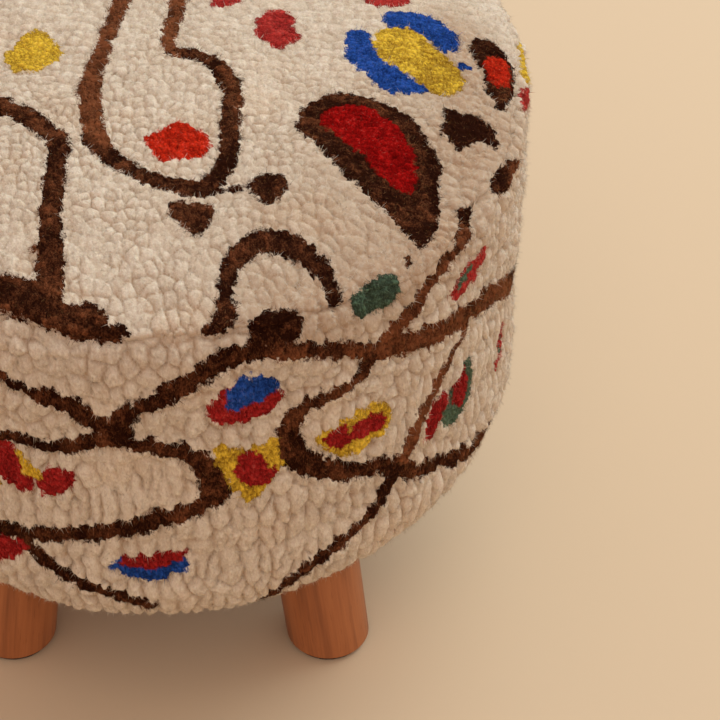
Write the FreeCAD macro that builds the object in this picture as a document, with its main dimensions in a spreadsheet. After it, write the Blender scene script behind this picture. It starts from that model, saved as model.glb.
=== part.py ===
import FreeCAD, Part
import Sketcher
import math
import os

# Round upholstered stool: a low drum covered with a deep hand-knotted wool rug, standing on four
# splayed turned legs. Millimetres, +Z up, the floor is z = 0 and the axis of the drum is x = y = 0.
# The sheet below drives every piece. All other lengths are worked out from it.

spec = {
    # The cover, as seen: overall height, radius and the curves of its outline
    "seat_height": 382,
    "cover_radius": 212,
    "crown_radius": 1170,
    "top_edge_radius": 22,
    "side_belly_radius": 2800,
    "lower_edge_radius": 72,
    "hem_edge_radius": 30,
    "hem_turn_angle": 50,
    "underside_height": 112,
    "hem_lip_radius": 8.7,
    # The rug: knots and pile together, and the seam that draws the two panels in
    "rug_depth": 17,
    "seam_angle": 45,
    "seam_lip_angle": 8,
    "seam_draw_depth": 4,
    "seam_gap": 0.3,
    # Soft pieces lie this far from what they wrap
    "soft_gap": 0.3,
    "seat_foam_depth": 50,
    "dust_cover_thickness": 0.8,
    "dust_cover_margin": 1.5,
    # The frame inside: two plywood boards, posts between them and a bent hardboard wall. The
    # boards' rim lies this far inside the cover, and the vents this far inside that rim
    "board_inset": 40,
    "base_board_thickness": 15,
    "top_board_thickness": 12,
    "wall_thickness": 3,
    "wall_gap": 0.3,
    "wall_joint_gap": 2,
    "post_width": 32,
    "post_inset": 4,
    "post_arris_width": 3,
    "post_count": 6,
    "vent_radius": 10,
    "vent_inset": 77,
    "vent_count": 5,
    # The legs: turned, a little thinner at the foot, cut level with the floor. Their feet stand
    # this far inside the cover
    "leg_count": 4,
    "leg_turn": 45,
    "leg_splay": 9,
    "foot_inset": 75,
    "leg_foot_radius": 25,
    "leg_top_radius": 26,
    "foot_chamfer_width": 1.5,
    "leg_overrun_length": 20,
    # Felt pads under the feet
    "pad_thickness": 3,
    "pad_radius": 23,
    "pad_chamfer_width": 0.8,
    # Steel leg plates with a pressed, tilted seat for the leg
    "plate_width": 58,
    "plate_corner_radius": 6,
    "plate_thickness": 2.5,
    "boss_radius": 22,
    "boss_height": 5.5,
    "plate_hole_radius": 2.2,
    "plate_head_radius": 4.2,
    "plate_hole_inset": 7,
    # Hanger bolt and the nut that is welded in the plate
    "bolt_radius": 4,
    "bolt_in_leg_depth": 32,
    "bolt_point_length": 6,
    "bolt_tip_radius": 1.2,
    "bolt_past_nut_length": 3,
    "bolt_gap": 0.15,
    "bore_extra_depth": 2,
    "nut_radius": 7.5,
    "nut_depth": 6.5,
    "board_bore_radius": 13,
    # Cutting tools run this far past what they cut
    "overrun_length": 5,
}

doc = FreeCAD.newDocument("kursi_stool")
sheet = doc.addObject("Spreadsheet::Sheet", "spec")
for row, (alias, value) in enumerate(spec.items(), 1):
    sheet.set("A%d" % row, alias)
    sheet.set("B%d" % row, str(value))
    sheet.setAlias("B%d" % row, alias)
doc.recompute()


class Size:
    """A value together with the sheet formula that it comes from."""

    def __init__(self, value, formula):
        self.value = value
        self.formula = formula

    def combined(self, sign, other, value):
        formula = other.formula if isinstance(other, Size) else str(other)
        return Size(value, "(%s %s %s)" % (self.formula, sign, formula))

    def __add__(self, other):
        return self.combined("+", other, self.value + plain(other))

    def __sub__(self, other):
        return self.combined("-", other, self.value - plain(other))

    def __mul__(self, other):
        return self.combined("*", other, self.value * plain(other))

    def __truediv__(self, other):
        return self.combined("/", other, self.value / plain(other))

    def __neg__(self):
        return Size(-self.value, "(0 - %s)" % self.formula)


def plain(size):
    """The number in a size, or the number itself."""
    return size.value if isinstance(size, Size) else size


def read(alias):
    """A size straight from the sheet."""
    return Size(float(sheet.get(alias)), "spec." + alias)


def root(size):
    return Size(math.sqrt(size.value), "sqrt(%s)" % size.formula)


def sine(angle):
    return Size(math.sin(math.radians(angle.value)), "sin(%s)" % angle.formula)


def cosine(angle):
    return Size(math.cos(math.radians(angle.value)), "cos(%s)" % angle.formula)


def tangent(angle):
    return Size(math.tan(math.radians(angle.value)), "tan(%s)" % angle.formula)


# Sizes read from the sheet under their own names
seat_height = read("seat_height")
cover_radius = read("cover_radius")
crown_radius = read("crown_radius")
top_edge_radius = read("top_edge_radius")
side_belly_radius = read("side_belly_radius")
lower_edge_radius = read("lower_edge_radius")
hem_edge_radius = read("hem_edge_radius")
hem_turn_angle = read("hem_turn_angle")
underside_height = read("underside_height")
hem_lip_radius = read("hem_lip_radius")
rug_depth = read("rug_depth")
seam_angle = read("seam_angle")
seam_lip_angle = read("seam_lip_angle")
seam_draw_depth = read("seam_draw_depth")
seam_gap = read("seam_gap")
soft_gap = read("soft_gap")
seat_foam_depth = read("seat_foam_depth")
dust_cover_thickness = read("dust_cover_thickness")
dust_cover_margin = read("dust_cover_margin")
board_inset = read("board_inset")
base_board_thickness = read("base_board_thickness")
top_board_thickness = read("top_board_thickness")
wall_thickness = read("wall_thickness")
wall_gap = read("wall_gap")
wall_joint_gap = read("wall_joint_gap")
post_width = read("post_width")
post_inset = read("post_inset")
post_arris_width = read("post_arris_width")
vent_radius = read("vent_radius")
vent_inset = read("vent_inset")
leg_turn = read("leg_turn")
leg_splay = read("leg_splay")
foot_inset = read("foot_inset")
leg_foot_radius = read("leg_foot_radius")
leg_top_radius = read("leg_top_radius")
foot_chamfer_width = read("foot_chamfer_width")
leg_overrun_length = read("leg_overrun_length")
pad_thickness = read("pad_thickness")
pad_radius = read("pad_radius")
pad_chamfer_width = read("pad_chamfer_width")
plate_width = read("plate_width")
plate_corner_radius = read("plate_corner_radius")
plate_thickness = read("plate_thickness")
boss_radius = read("boss_radius")
boss_height = read("boss_height")
plate_hole_radius = read("plate_hole_radius")
plate_head_radius = read("plate_head_radius")
plate_hole_inset = read("plate_hole_inset")
bolt_radius = read("bolt_radius")
bolt_in_leg_depth = read("bolt_in_leg_depth")
bolt_point_length = read("bolt_point_length")
bolt_tip_radius = read("bolt_tip_radius")
bolt_past_nut_length = read("bolt_past_nut_length")
bolt_gap = read("bolt_gap")
bore_extra_depth = read("bore_extra_depth")
nut_radius = read("nut_radius")
nut_depth = read("nut_depth")
board_bore_radius = read("board_bore_radius")
overrun_length = read("overrun_length")
post_count = int(spec["post_count"])
vent_count = int(spec["vent_count"])
leg_count = int(spec["leg_count"])
full_turn = 360

# Heights of the stack, from the floor up
board_low = underside_height + rug_depth + soft_gap
board_up = board_low + base_board_thickness
foam_top = seat_height - rug_depth - soft_gap
top_board_up = foam_top - seat_foam_depth
top_board_low = top_board_up - top_board_thickness
dust_low = board_low - dust_cover_thickness
plate_low = dust_low - plate_thickness
leg_top_z = plate_low - boss_height
foot_circle = cover_radius - foot_inset
leg_top_r = foot_circle - leg_top_z * tangent(leg_splay)
bore_circle = foot_circle - board_low * tangent(leg_splay)

# Radii of the drum
board_radius = cover_radius - board_inset
vent_circle = board_radius - vent_inset
wall_inner = board_radius + wall_gap
wall_outer = wall_inner + wall_thickness
foam_inner = wall_outer + soft_gap

# Centres of the outline's arcs. The crown and the side are tangent to the rounded top edge, the
# side runs into a wide lower rounding, and that one into a tighter turn under the board.
crown_z = seat_height - crown_radius
edge_x = cover_radius - top_edge_radius
edge_reach = crown_radius - top_edge_radius
edge_z = crown_z + root(edge_reach * edge_reach - edge_x * edge_x)
belly_x = cover_radius - side_belly_radius
turn_reach = lower_edge_radius - hem_edge_radius
hem_z = underside_height + hem_edge_radius
lower_z = hem_z + turn_reach * sine(hem_turn_angle)
lower_reach = side_belly_radius - lower_edge_radius
lower_x = belly_x + root(lower_reach * lower_reach - (edge_z - lower_z) * (edge_z - lower_z))
hem_x = lower_x + turn_reach * cosine(hem_turn_angle)
hem_inner_radius = hem_x - hem_lip_radius


def crown_point(depth):
    """Where the crown turns into the rounded edge, this deep under the surface."""
    share = (crown_radius - depth) / edge_reach
    return edge_x * share, crown_z + (edge_z - crown_z) * share


def lower_point(depth):
    """Where the side turns into the lower rounding, this deep under the surface."""
    share = (side_belly_radius - depth) / lower_reach
    return belly_x + (lower_x - belly_x) * share, edge_z + (lower_z - edge_z) * share


def turn_point(depth):
    """Where the lower rounding tightens into the turn under the board, this deep."""
    reach = hem_edge_radius - depth
    return hem_x + reach * cosine(hem_turn_angle), hem_z - reach * sine(hem_turn_angle)


def edge_point(angle, radius, aside):
    """A point on a ray of the top edge's arc, moved square to the ray."""
    x = edge_x + radius * cosine(angle) - aside * sine(angle)
    z = edge_z + radius * sine(angle) + aside * cosine(angle)
    return x, z


def side_x(depth, z):
    """The radius of the side at a height, this deep under the surface."""
    reach = side_belly_radius - depth
    return belly_x + root(reach * reach - (edge_z - z) * (edge_z - z))


def new_body(label):
    body = doc.addObject("PartDesign::Body", label)
    body.Label = label
    return body


def new_sketch(body, role, name):
    """A sketch on one of the body's own origin planes."""
    sketch = body.newObject("Sketcher::SketchObject", name)
    plane = [item for item in body.Origin.OriginFeatures if item.Role == role][0]
    sketch.AttachmentSupport = [(plane, "")]
    sketch.MapMode = "FlatFace"
    return sketch


def hold(sketch, kind, size, *where):
    """A dimension of the sketch that follows the sheet."""
    index = sketch.addConstraint(Sketcher.Constraint(kind, *where, plain(size)))
    sketch.setExpression("Constraints[%d]" % index, size.formula)


def pin(sketch, item, end, x, y):
    """Places a point of the sketch. A zero puts it on the axis."""
    if plain(x) == 0:
        sketch.addConstraint(Sketcher.Constraint("PointOnObject", item, end, -2))
    else:
        hold(sketch, "DistanceX", x, -1, 1, item, end)
    if plain(y) == 0:
        sketch.addConstraint(Sketcher.Constraint("PointOnObject", item, end, -1))
    else:
        hold(sketch, "DistanceY", y, -1, 1, item, end)


def arc_between(start, end, radius, left):
    """The short arc between two points, with its centre to the left or right of the way."""
    way = end - start
    middle = start + way * 0.5
    across = FreeCAD.Vector(-way.y, way.x, 0).normalize()
    off = math.sqrt(max(radius * radius - way.Length * way.Length / 4, 0))
    centre = middle + across * (off if left else -off)
    first = math.atan2(start.y - centre.y, start.x - centre.x)
    last = math.atan2(end.y - centre.y, end.x - centre.x)
    circle = Part.Circle(centre, FreeCAD.Vector(0, 0, 1), radius)
    return Part.ArcOfCircle(circle, first, last) if left else Part.ArcOfCircle(circle, last, first)


def outline(sketch, corners, arcs):
    """A closed outline. arcs gives, by the corner it starts from, a radius and a side."""
    points = [FreeCAD.Vector(plain(x), plain(y), 0) for x, y in corners]
    ends = []
    for number, start in enumerate(points):
        end = points[(number + 1) % len(points)]
        if number in arcs:
            radius, left = arcs[number]
            item = sketch.addGeometry(arc_between(start, end, plain(radius), left), False)
            hold(sketch, "Radius", radius, item)
            ends.append((item, 1, 2) if left else (item, 2, 1))
        else:
            item = sketch.addGeometry(Part.LineSegment(start, end), False)
            ends.append((item, 1, 2))
    for number, (item, first, last) in enumerate(ends):
        following, begin, _ = ends[(number + 1) % len(ends)]
        sketch.addConstraint(Sketcher.Constraint("Coincident", item, last, following, begin))
    for (item, first, last), (x, y) in zip(ends, corners):
        pin(sketch, item, first, x, y)


def circle(sketch, x, y, radius):
    centre = FreeCAD.Vector(plain(x), plain(y), 0)
    shape = Part.Circle(centre, FreeCAD.Vector(0, 0, 1), plain(radius))
    item = sketch.addGeometry(shape, False)
    hold(sketch, "Radius", radius, item)
    if plain(x) == 0 and plain(y) == 0:
        sketch.addConstraint(Sketcher.Constraint("Coincident", item, 3, -1, 1))
    else:
        pin(sketch, item, 3, x, y)


def revolved(body, sketch):
    turned = body.newObject("PartDesign::Revolution", "Turned")
    turned.Profile = sketch
    turned.ReferenceAxis = (sketch, ["V_Axis"])
    turned.Angle = full_turn
    sketch.Visibility = False
    return turned


def padded(body, sketch, length):
    pad = body.newObject("PartDesign::Pad", "Thickness")
    pad.Profile = sketch
    pad.setExpression("Length", length.formula)
    sketch.Visibility = False
    return pad


def cut_away(body, sketch, name):
    """Cuts the sketch right through the body and makes sure that something was cut."""
    doc.recompute()
    before = body.Shape.Volume
    pocket = body.newObject("PartDesign::Pocket", name)
    pocket.Profile = sketch
    pocket.Type = "ThroughAll"
    pocket.Midplane = True
    doc.recompute()
    if not pocket.Shape.Volume < before:
        raise ValueError("nothing was cut by " + name + " in " + body.Label)
    sketch.Visibility = False
    return pocket


def repeated(body, feature, count):
    """Repeats a cut evenly around the body's axis."""
    pattern = body.newObject("PartDesign::PolarPattern", "Around")
    pattern.Originals = [feature]
    axis = [item for item in body.Origin.OriginFeatures if item.Role == "Z_Axis"][0]
    pattern.Axis = (axis, [""])
    pattern.Angle = full_turn
    pattern.Occurrences = count
    body.Tip = pattern
    return pattern


def placed(turn, x, z, tilt):
    """Out along a spoke at this turn, up to z, leaning outwards at the foot by the tilt."""
    spoke = FreeCAD.Placement(FreeCAD.Vector(0, 0, 0), FreeCAD.Rotation(FreeCAD.Vector(0, 0, 1), turn))
    lean = FreeCAD.Rotation(FreeCAD.Vector(0, 1, 0), -tilt)
    return spoke * FreeCAD.Placement(FreeCAD.Vector(x, 0, z), lean)


pieces = []

# Plywood base board, bored where the leg bolts and their nuts come up
base_board = new_body("base_board")
sketch = new_sketch(base_board, "XY_Plane", "base_board_rim")
circle(sketch, 0, 0, board_radius)
padded(base_board, sketch, base_board_thickness)
sketch = new_sketch(base_board, "XY_Plane", "base_board_bore")
circle(sketch, bore_circle * cosine(leg_turn), bore_circle * sine(leg_turn), board_bore_radius)
repeated(base_board, cut_away(base_board, sketch, "Bore"), leg_count)
base_board.Placement.Base.z = board_low.value
pieces.append(base_board)

# Plywood top board with holes that let the foam breathe
top_board = new_body("top_board")
sketch = new_sketch(top_board, "XY_Plane", "top_board_rim")
circle(sketch, 0, 0, board_radius)
padded(top_board, sketch, top_board_thickness)
sketch = new_sketch(top_board, "XY_Plane", "top_board_vent")
circle(sketch, vent_circle, 0, vent_radius)
repeated(top_board, cut_away(top_board, sketch, "Vent"), vent_count)
top_board.Placement.Base.z = top_board_low.value
pieces.append(top_board)

# Softwood posts between the boards, their long arrises taken off
post_centre = board_radius - post_inset - post_width / 2
for number in range(post_count):
    label = "frame_post_%d" % (number + 1)
    post = new_body(label)
    sketch = new_sketch(post, "XY_Plane", label + "_section")
    half = post_width / 2
    inner = half - post_arris_width
    section = [(half, -inner), (half, inner), (inner, half), (-inner, half),
               (-half, inner), (-half, -inner), (-inner, -half), (inner, -half)]
    outline(sketch, section, {})
    padded(post, sketch, top_board_low - board_up)
    post.Placement = placed(full_turn / post_count * number, post_centre.value, board_up.value, 0)
    pieces.append(post)

# Hardboard wall bent round the two boards, its ends not quite meeting
side_wall = new_body("side_wall")
sketch = new_sketch(side_wall, "XZ_Plane", "side_wall_section")
wall_corners = [(wall_inner, board_low), (wall_outer, board_low),
                (wall_outer, top_board_up), (wall_inner, top_board_up)]
outline(sketch, wall_corners, {})
turned = revolved(side_wall, sketch)
open_angle = wall_joint_gap / wall_outer * (full_turn / 2 / math.pi)
turned.setExpression("Angle", "%d - %s" % (full_turn, open_angle.formula))
side_wall.Placement = placed(full_turn / 4, 0, 0, 0)
pieces.append(side_wall)

# Foam wrapped round the wall, thinner towards the floor and rounded where the rug turns under
inside_rug = rug_depth + soft_gap
wrap_reach = lower_edge_radius - inside_rug
wrap_off = foam_inner - lower_x
wrap_low = lower_z - root(wrap_reach * wrap_reach - wrap_off * wrap_off)
side_foam = new_body("side_foam")
sketch = new_sketch(side_foam, "XZ_Plane", "side_foam_section")
foam_corners = [(foam_inner, wrap_low), lower_point(inside_rug),
                (side_x(inside_rug, top_board_up), top_board_up), (foam_inner, top_board_up)]
outline(sketch, foam_corners, {0: (wrap_reach, True), 1: (side_belly_radius - inside_rug, True)})
revolved(side_foam, sketch)
pieces.append(side_foam)

# Crowned seat foam, over the top board and the wrap
seat_foam = new_body("seat_foam")
sketch = new_sketch(seat_foam, "XZ_Plane", "seat_foam_section")
seat_corners = [(0, top_board_up), (side_x(inside_rug, top_board_up), top_board_up),
                (cover_radius - inside_rug, edge_z), crown_point(inside_rug), (0, foam_top)]
seat_arcs = {1: (side_belly_radius - inside_rug, True), 2: (top_edge_radius - inside_rug, True),
             3: (crown_radius - inside_rug, True)}
outline(sketch, seat_corners, seat_arcs)
revolved(seat_foam, sketch)
pieces.append(seat_foam)

# Round top panel of the rug, crowned, its rim rolled down into the seam
half_seam = seam_gap / 2
seam_out = top_edge_radius - seam_draw_depth
seam_in = top_edge_radius - rug_depth
top_panel = new_body("cover_top_panel")
sketch = new_sketch(top_panel, "XZ_Plane", "cover_top_panel_section")
no_shift = soft_gap * 0
panel_corners = [(0, seat_height - rug_depth), crown_point(rug_depth),
                 edge_point(seam_angle, seam_in, half_seam), edge_point(seam_angle, seam_out, half_seam),
                 edge_point(seam_angle + seam_lip_angle, top_edge_radius, no_shift),
                 crown_point(no_shift), (0, seat_height)]
panel_arcs = {0: (crown_radius - rug_depth, False), 1: (seam_in, False), 4: (top_edge_radius, True),
              5: (crown_radius, True)}
outline(sketch, panel_corners, panel_arcs)
revolved(top_panel, sketch)
pieces.append(top_panel)

# Side band of the rug, from the seam down round the lower edge and under the base board
board_side = wall_outer + soft_gap
under_reach = lower_edge_radius - rug_depth
under_off = board_side - lower_x
under_z = lower_z - root(under_reach * under_reach - under_off * under_off)
hem_up = board_low - soft_gap
side_band = new_body("cover_side_band")
sketch = new_sketch(side_band, "XZ_Plane", "cover_side_band_section")
band_corners = [edge_point(seam_angle, seam_out, -half_seam), edge_point(seam_angle, seam_in, -half_seam),
                (cover_radius - rug_depth, edge_z), lower_point(rug_depth), (board_side, under_z),
                (board_side, hem_up), (hem_inner_radius, hem_up),
                (hem_inner_radius, underside_height + hem_lip_radius), (hem_x, underside_height),
                turn_point(no_shift), lower_point(no_shift), (cover_radius, edge_z),
                edge_point(seam_angle - seam_lip_angle, top_edge_radius, no_shift)]
band_arcs = {1: (seam_in, False), 2: (side_belly_radius - rug_depth, False), 3: (under_reach, False),
             7: (hem_lip_radius, True), 8: (hem_edge_radius, True), 9: (lower_edge_radius, True),
             10: (side_belly_radius, True), 11: (top_edge_radius, True)}
outline(sketch, band_corners, band_arcs)
revolved(side_band, sketch)
pieces.append(side_band)

# Black dust cover under the base board, with a hole at each bolt
dust_cover = new_body("dust_cover")
sketch = new_sketch(dust_cover, "XY_Plane", "dust_cover_rim")
circle(sketch, 0, 0, hem_inner_radius - dust_cover_margin)
padded(dust_cover, sketch, dust_cover_thickness)
sketch = new_sketch(dust_cover, "XY_Plane", "dust_cover_hole")
circle(sketch, bore_circle * cosine(leg_turn), bore_circle * sine(leg_turn), board_bore_radius)
repeated(dust_cover, cut_away(dust_cover, sketch, "Hole"), leg_count)
dust_cover.Placement.Base.z = dust_low.value
pieces.append(dust_cover)

# The four legs with their plates, bolts, nuts and felt pads. Each leg's own frame has its origin
# at the centre of the leg's top face and Z along the leg.
leg_length = (leg_top_z - pad_thickness) / cosine(leg_splay)
bolt_up = plate_thickness + nut_depth + bolt_past_nut_length
side_reach = leg_top_radius + overrun_length
foot_rise = side_reach * tangent(leg_splay)
for number in range(leg_count):
    tail = "_%d" % (number + 1)
    turn = leg_turn.value + full_turn / leg_count * number
    on_leg = placed(turn, leg_top_r.value, leg_top_z.value, leg_splay.value)

    # Turned leg: overlong, then cut level with the floor and eased at the foot
    leg = new_body("leg" + tail)
    sketch = new_sketch(leg, "XZ_Plane", "leg_section" + tail)
    leg_end = leg_length + leg_overrun_length
    leg_slope = (leg_top_radius - leg_foot_radius) / leg_length
    leg_corners = [(0, -leg_end), (leg_top_radius - leg_slope * leg_end, -leg_end),
                   (leg_top_radius, leg_length * 0), (0, leg_length * 0)]
    outline(sketch, leg_corners, {})
    revolved(leg, sketch)
    sketch = new_sketch(leg, "XZ_Plane", "leg_floor" + tail)
    floor_corners = [(-side_reach, foot_rise - leg_length), (-side_reach, -leg_end - leg_overrun_length),
                     (side_reach, -leg_end - leg_overrun_length), (side_reach, -leg_length - foot_rise)]
    outline(sketch, floor_corners, {})
    cut_away(leg, sketch, "Floor")
    sketch = new_sketch(leg, "XY_Plane", "leg_bore" + tail)
    circle(sketch, 0, 0, bolt_radius + bolt_gap)
    uncut = leg.Shape.Volume
    bore = leg.newObject("PartDesign::Pocket", "BoltBore")
    bore.Profile = sketch
    bore.setExpression("Length", (bolt_in_leg_depth + bore_extra_depth).formula)
    doc.recompute()
    if not bore.Shape.Volume < uncut:
        raise ValueError("the bolt bore cut nothing in " + leg.Label)
    foot = min(bore.Shape.Faces, key=lambda face: face.CenterOfMass.z)
    rims = ["Edge%d" % (place + 1) for place, edge in enumerate(bore.Shape.Edges)
            if any(edge.isSame(rim) for rim in foot.Edges)]
    eased = leg.newObject("PartDesign::Chamfer", "FootEdge")
    eased.Base = (bore, rims)
    eased.setExpression("Size", foot_chamfer_width.formula)
    leg.Placement = on_leg
    pieces.append(leg)

    # Hanger bolt: machine thread up through plate and nut, wood thread and point down in the leg
    bolt = new_body("hanger_bolt" + tail)
    sketch = new_sketch(bolt, "XZ_Plane", "hanger_bolt_section" + tail)
    bolt_corners = [(0, -bolt_in_leg_depth), (bolt_tip_radius, -bolt_in_leg_depth),
                    (bolt_radius, bolt_point_length - bolt_in_leg_depth), (bolt_radius, bolt_up), (0, bolt_up)]
    outline(sketch, bolt_corners, {})
    revolved(bolt, sketch)
    bolt.Placement = on_leg
    pieces.append(bolt)

    # Leg plate: pressed steel, flat under the board, with a hollow boss tilted square to the leg.
    # Its own frame has the plate's underside at z = 0 and the boss's face centre on the leg.
    plate_x = leg_top_r - boss_height * tangent(leg_splay)
    flat = doc.addObject("Part::Box", "plate_flat" + tail)
    flat.setExpression("Length", plate_width.formula)
    flat.setExpression("Width", plate_width.formula)
    flat.setExpression("Height", plate_thickness.formula)
    flat.setExpression("Placement.Base.x", (-plate_width / 2).formula)
    flat.setExpression("Placement.Base.y", (-plate_width / 2).formula)
    doc.recompute()
    corners = doc.addObject("Part::Fillet", "plate_corners" + tail)
    corners.Base = flat
    upright = [place + 1 for place, edge in enumerate(flat.Shape.Edges)
               if abs(edge.tangentAt(edge.FirstParameter).z) > 0.5]
    corners.Edges = [(place, plate_corner_radius.value, plate_corner_radius.value) for place in upright]
    face_x = boss_height * tangent(leg_splay)
    boss_tall = plate_thickness + boss_height + boss_radius * tangent(leg_splay)
    boss = doc.addObject("Part::Cylinder", "plate_boss" + tail)
    boss.setExpression("Radius", boss_radius.formula)
    boss.setExpression("Height", boss_tall.formula)
    hollow = doc.addObject("Part::Cylinder", "plate_hollow" + tail)
    hollow.setExpression("Radius", (boss_radius - plate_thickness).formula)
    hollow.setExpression("Height", (boss_tall + overrun_length).formula)
    bolt_hole = doc.addObject("Part::Cylinder", "plate_bolt_hole" + tail)
    bolt_hole.setExpression("Radius", (bolt_radius + bolt_gap).formula)
    bolt_hole.setExpression("Height", (plate_thickness + overrun_length * 2).formula)
    for tool, along in ((boss, leg_length * 0), (hollow, plate_thickness), (bolt_hole, -overrun_length)):
        tool.Placement.Rotation = FreeCAD.Rotation(FreeCAD.Vector(0, 1, 0), -leg_splay.value)
        tool.setExpression("Placement.Base.x", (face_x - along * sine(leg_splay)).formula)
        tool.setExpression("Placement.Base.z", (along * cosine(leg_splay) - boss_height).formula)
    above = doc.addObject("Part::Box", "plate_above" + tail)
    above.setExpression("Length", (plate_width * 2).formula)
    above.setExpression("Width", (plate_width * 2).formula)
    above.setExpression("Height", (boss_tall + overrun_length).formula)
    above.setExpression("Placement.Base.x", (-plate_width).formula)
    above.setExpression("Placement.Base.y", (-plate_width).formula)
    above.setExpression("Placement.Base.z", plate_thickness.formula)
    blank = doc.addObject("Part::MultiFuse", "plate_blank" + tail)
    blank.Shapes = [corners, boss]
    cutters = [hollow, bolt_hole, above]
    hole_off = plate_width / 2 - plate_hole_inset
    for way_x in (1, -1):
        for way_y in (1, -1):
            spot = "%s_%s%s" % (tail, "a" if way_x > 0 else "b", "a" if way_y > 0 else "b")
            shank = doc.addObject("Part::Cylinder", "plate_screw_hole" + spot)
            shank.setExpression("Radius", plate_hole_radius.formula)
            shank.setExpression("Height", (plate_thickness + overrun_length * 2).formula)
            shank.setExpression("Placement.Base.z", (-overrun_length).formula)
            sunk = doc.addObject("Part::Cone", "plate_countersink" + spot)
            sunk.setExpression("Radius1", plate_head_radius.formula)
            sunk.setExpression("Radius2", plate_hole_radius.formula)
            sunk.setExpression("Height", (plate_head_radius - plate_hole_radius).formula)
            for tool in (shank, sunk):
                tool.setExpression("Placement.Base.x", (hole_off * way_x).formula)
                tool.setExpression("Placement.Base.y", (hole_off * way_y).formula)
                cutters.append(tool)
    waste = doc.addObject("Part::MultiFuse", "plate_waste" + tail)
    waste.Shapes = cutters
    plate = doc.addObject("Part::Cut", "leg_plate" + tail)
    plate.Base = blank
    plate.Tool = waste
    plate.Label = "leg_plate" + tail
    plate.Placement = placed(turn, plate_x.value, plate_low.value, 0)
    pieces.append(plate)

    # Hexagon nut, welded to the floor of the boss
    hexagon = doc.addObject("Part::Prism", "nut_hexagon" + tail)
    hexagon.setExpression("Circumradius", nut_radius.formula)
    hexagon.setExpression("Height", nut_depth.formula)
    thread = doc.addObject("Part::Cylinder", "nut_thread" + tail)
    thread.setExpression("Radius", (bolt_radius + bolt_gap).formula)
    thread.setExpression("Height", (nut_depth + overrun_length * 2).formula)
    thread.setExpression("Placement.Base.z", (-overrun_length).formula)
    nut = doc.addObject("Part::Cut", "plate_nut" + tail)
    nut.Base = hexagon
    nut.Tool = thread
    nut.Label = "plate_nut" + tail
    raised = FreeCAD.Placement(FreeCAD.Vector(0, 0, plate_thickness.value), FreeCAD.Rotation())
    nut.Placement = on_leg * raised
    pieces.append(nut)

    # Felt pad, glued under the foot and eased round its lower edge
    felt = new_body("felt_pad" + tail)
    sketch = new_sketch(felt, "XZ_Plane", "felt_pad_section" + tail)
    pad_corners = [(0, 0), (pad_radius - pad_chamfer_width, 0), (pad_radius, pad_chamfer_width),
                   (pad_radius, pad_thickness), (0, pad_thickness)]
    outline(sketch, pad_corners, {})
    revolved(felt, sketch)
    pad_x = foot_circle - pad_thickness * tangent(leg_splay)
    felt.Placement = placed(turn, pad_x.value, 0, 0)
    pieces.append(felt)

doc.recompute()

# Nothing is written unless every feature worked and every piece is one sound solid
for item in doc.Objects:
    if "Invalid" in item.State or "Error" in item.State:
        raise ValueError("%s (%s) did not build" % (item.Name, item.Label))
for piece in pieces:
    shape = piece.Shape
    if shape.isNull() or not shape.isValid() or len(shape.Solids) != 1 or shape.Volume <= 0:
        raise ValueError("%s is not one sound solid" % piece.Label)

os.makedirs("parts", exist_ok=True)
for piece in pieces:
    piece.Shape.exportStep(os.path.join("parts", piece.Label + ".step"))
    box = piece.Shape.BoundBox
    print("%-18s volume %10.0f mm3   x %7.1f..%7.1f  y %7.1f..%7.1f  z %6.1f..%6.1f" % (
        piece.Label, piece.Shape.Volume, box.XMin, box.XMax, box.YMin, box.YMax, box.ZMin, box.ZMax))
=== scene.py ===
# %% [markdown]
# # A round stool in a hand-knotted wool rug
# The real stool is a low drum, foam over a plywood frame, covered with a deep wool rug and set on
# four splayed wooden legs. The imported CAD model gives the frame, the legs and the steel parts.
# This script dresses it: it grows the pile, draws the freehand pattern into it, and gives every
# other part its wood, steel, cloth or felt. It starts from the frame, so nothing has to be fitted.

# %% Load the frame
import math
import bpy
import numpy as np
from mathutils import Matrix, Vector


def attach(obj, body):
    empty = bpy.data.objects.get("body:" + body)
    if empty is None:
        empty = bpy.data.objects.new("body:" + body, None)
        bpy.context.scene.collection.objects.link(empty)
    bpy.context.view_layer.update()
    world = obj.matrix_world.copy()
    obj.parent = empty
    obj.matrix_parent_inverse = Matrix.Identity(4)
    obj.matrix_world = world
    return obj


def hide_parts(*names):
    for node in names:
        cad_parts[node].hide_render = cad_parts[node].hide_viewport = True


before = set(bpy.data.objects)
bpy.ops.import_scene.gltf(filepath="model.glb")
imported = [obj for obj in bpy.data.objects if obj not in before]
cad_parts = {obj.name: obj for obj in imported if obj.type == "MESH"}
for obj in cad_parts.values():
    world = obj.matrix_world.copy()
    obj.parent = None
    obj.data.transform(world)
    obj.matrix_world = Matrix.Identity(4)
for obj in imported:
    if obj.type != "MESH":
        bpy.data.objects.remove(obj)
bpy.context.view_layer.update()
mm = 0.001
full_circle = 2 * math.pi

# %% [markdown]
# ## The camera
# A photograph fixes where its camera stood. Here that was worked out from the outline of the
# drum and the two feet: a long lens, tilted down by 45 degrees, a little to the right of the
# stool. The camera comes first because the pattern is placed with it: a point of the photograph
# is a line of sight, and where that line meets the rug is where the knot sits.

# %% Set up the camera
camera_place = np.array((116.23, -1335.48, 1459.48))
camera_tilt = math.radians(44.637)
lens_length = 154.33
sensor_width = 36.0
picture_width = 720

camera_data = bpy.data.cameras.new("studio_camera")
camera_data.lens = lens_length
camera_data.sensor_width = sensor_width
camera = bpy.data.objects.new("studio_camera", camera_data)
camera.location = camera_place * mm
camera.rotation_euler = (math.pi / 2 - camera_tilt, 0, 0)
bpy.context.scene.collection.objects.link(camera)
bpy.context.scene.camera = camera

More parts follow.
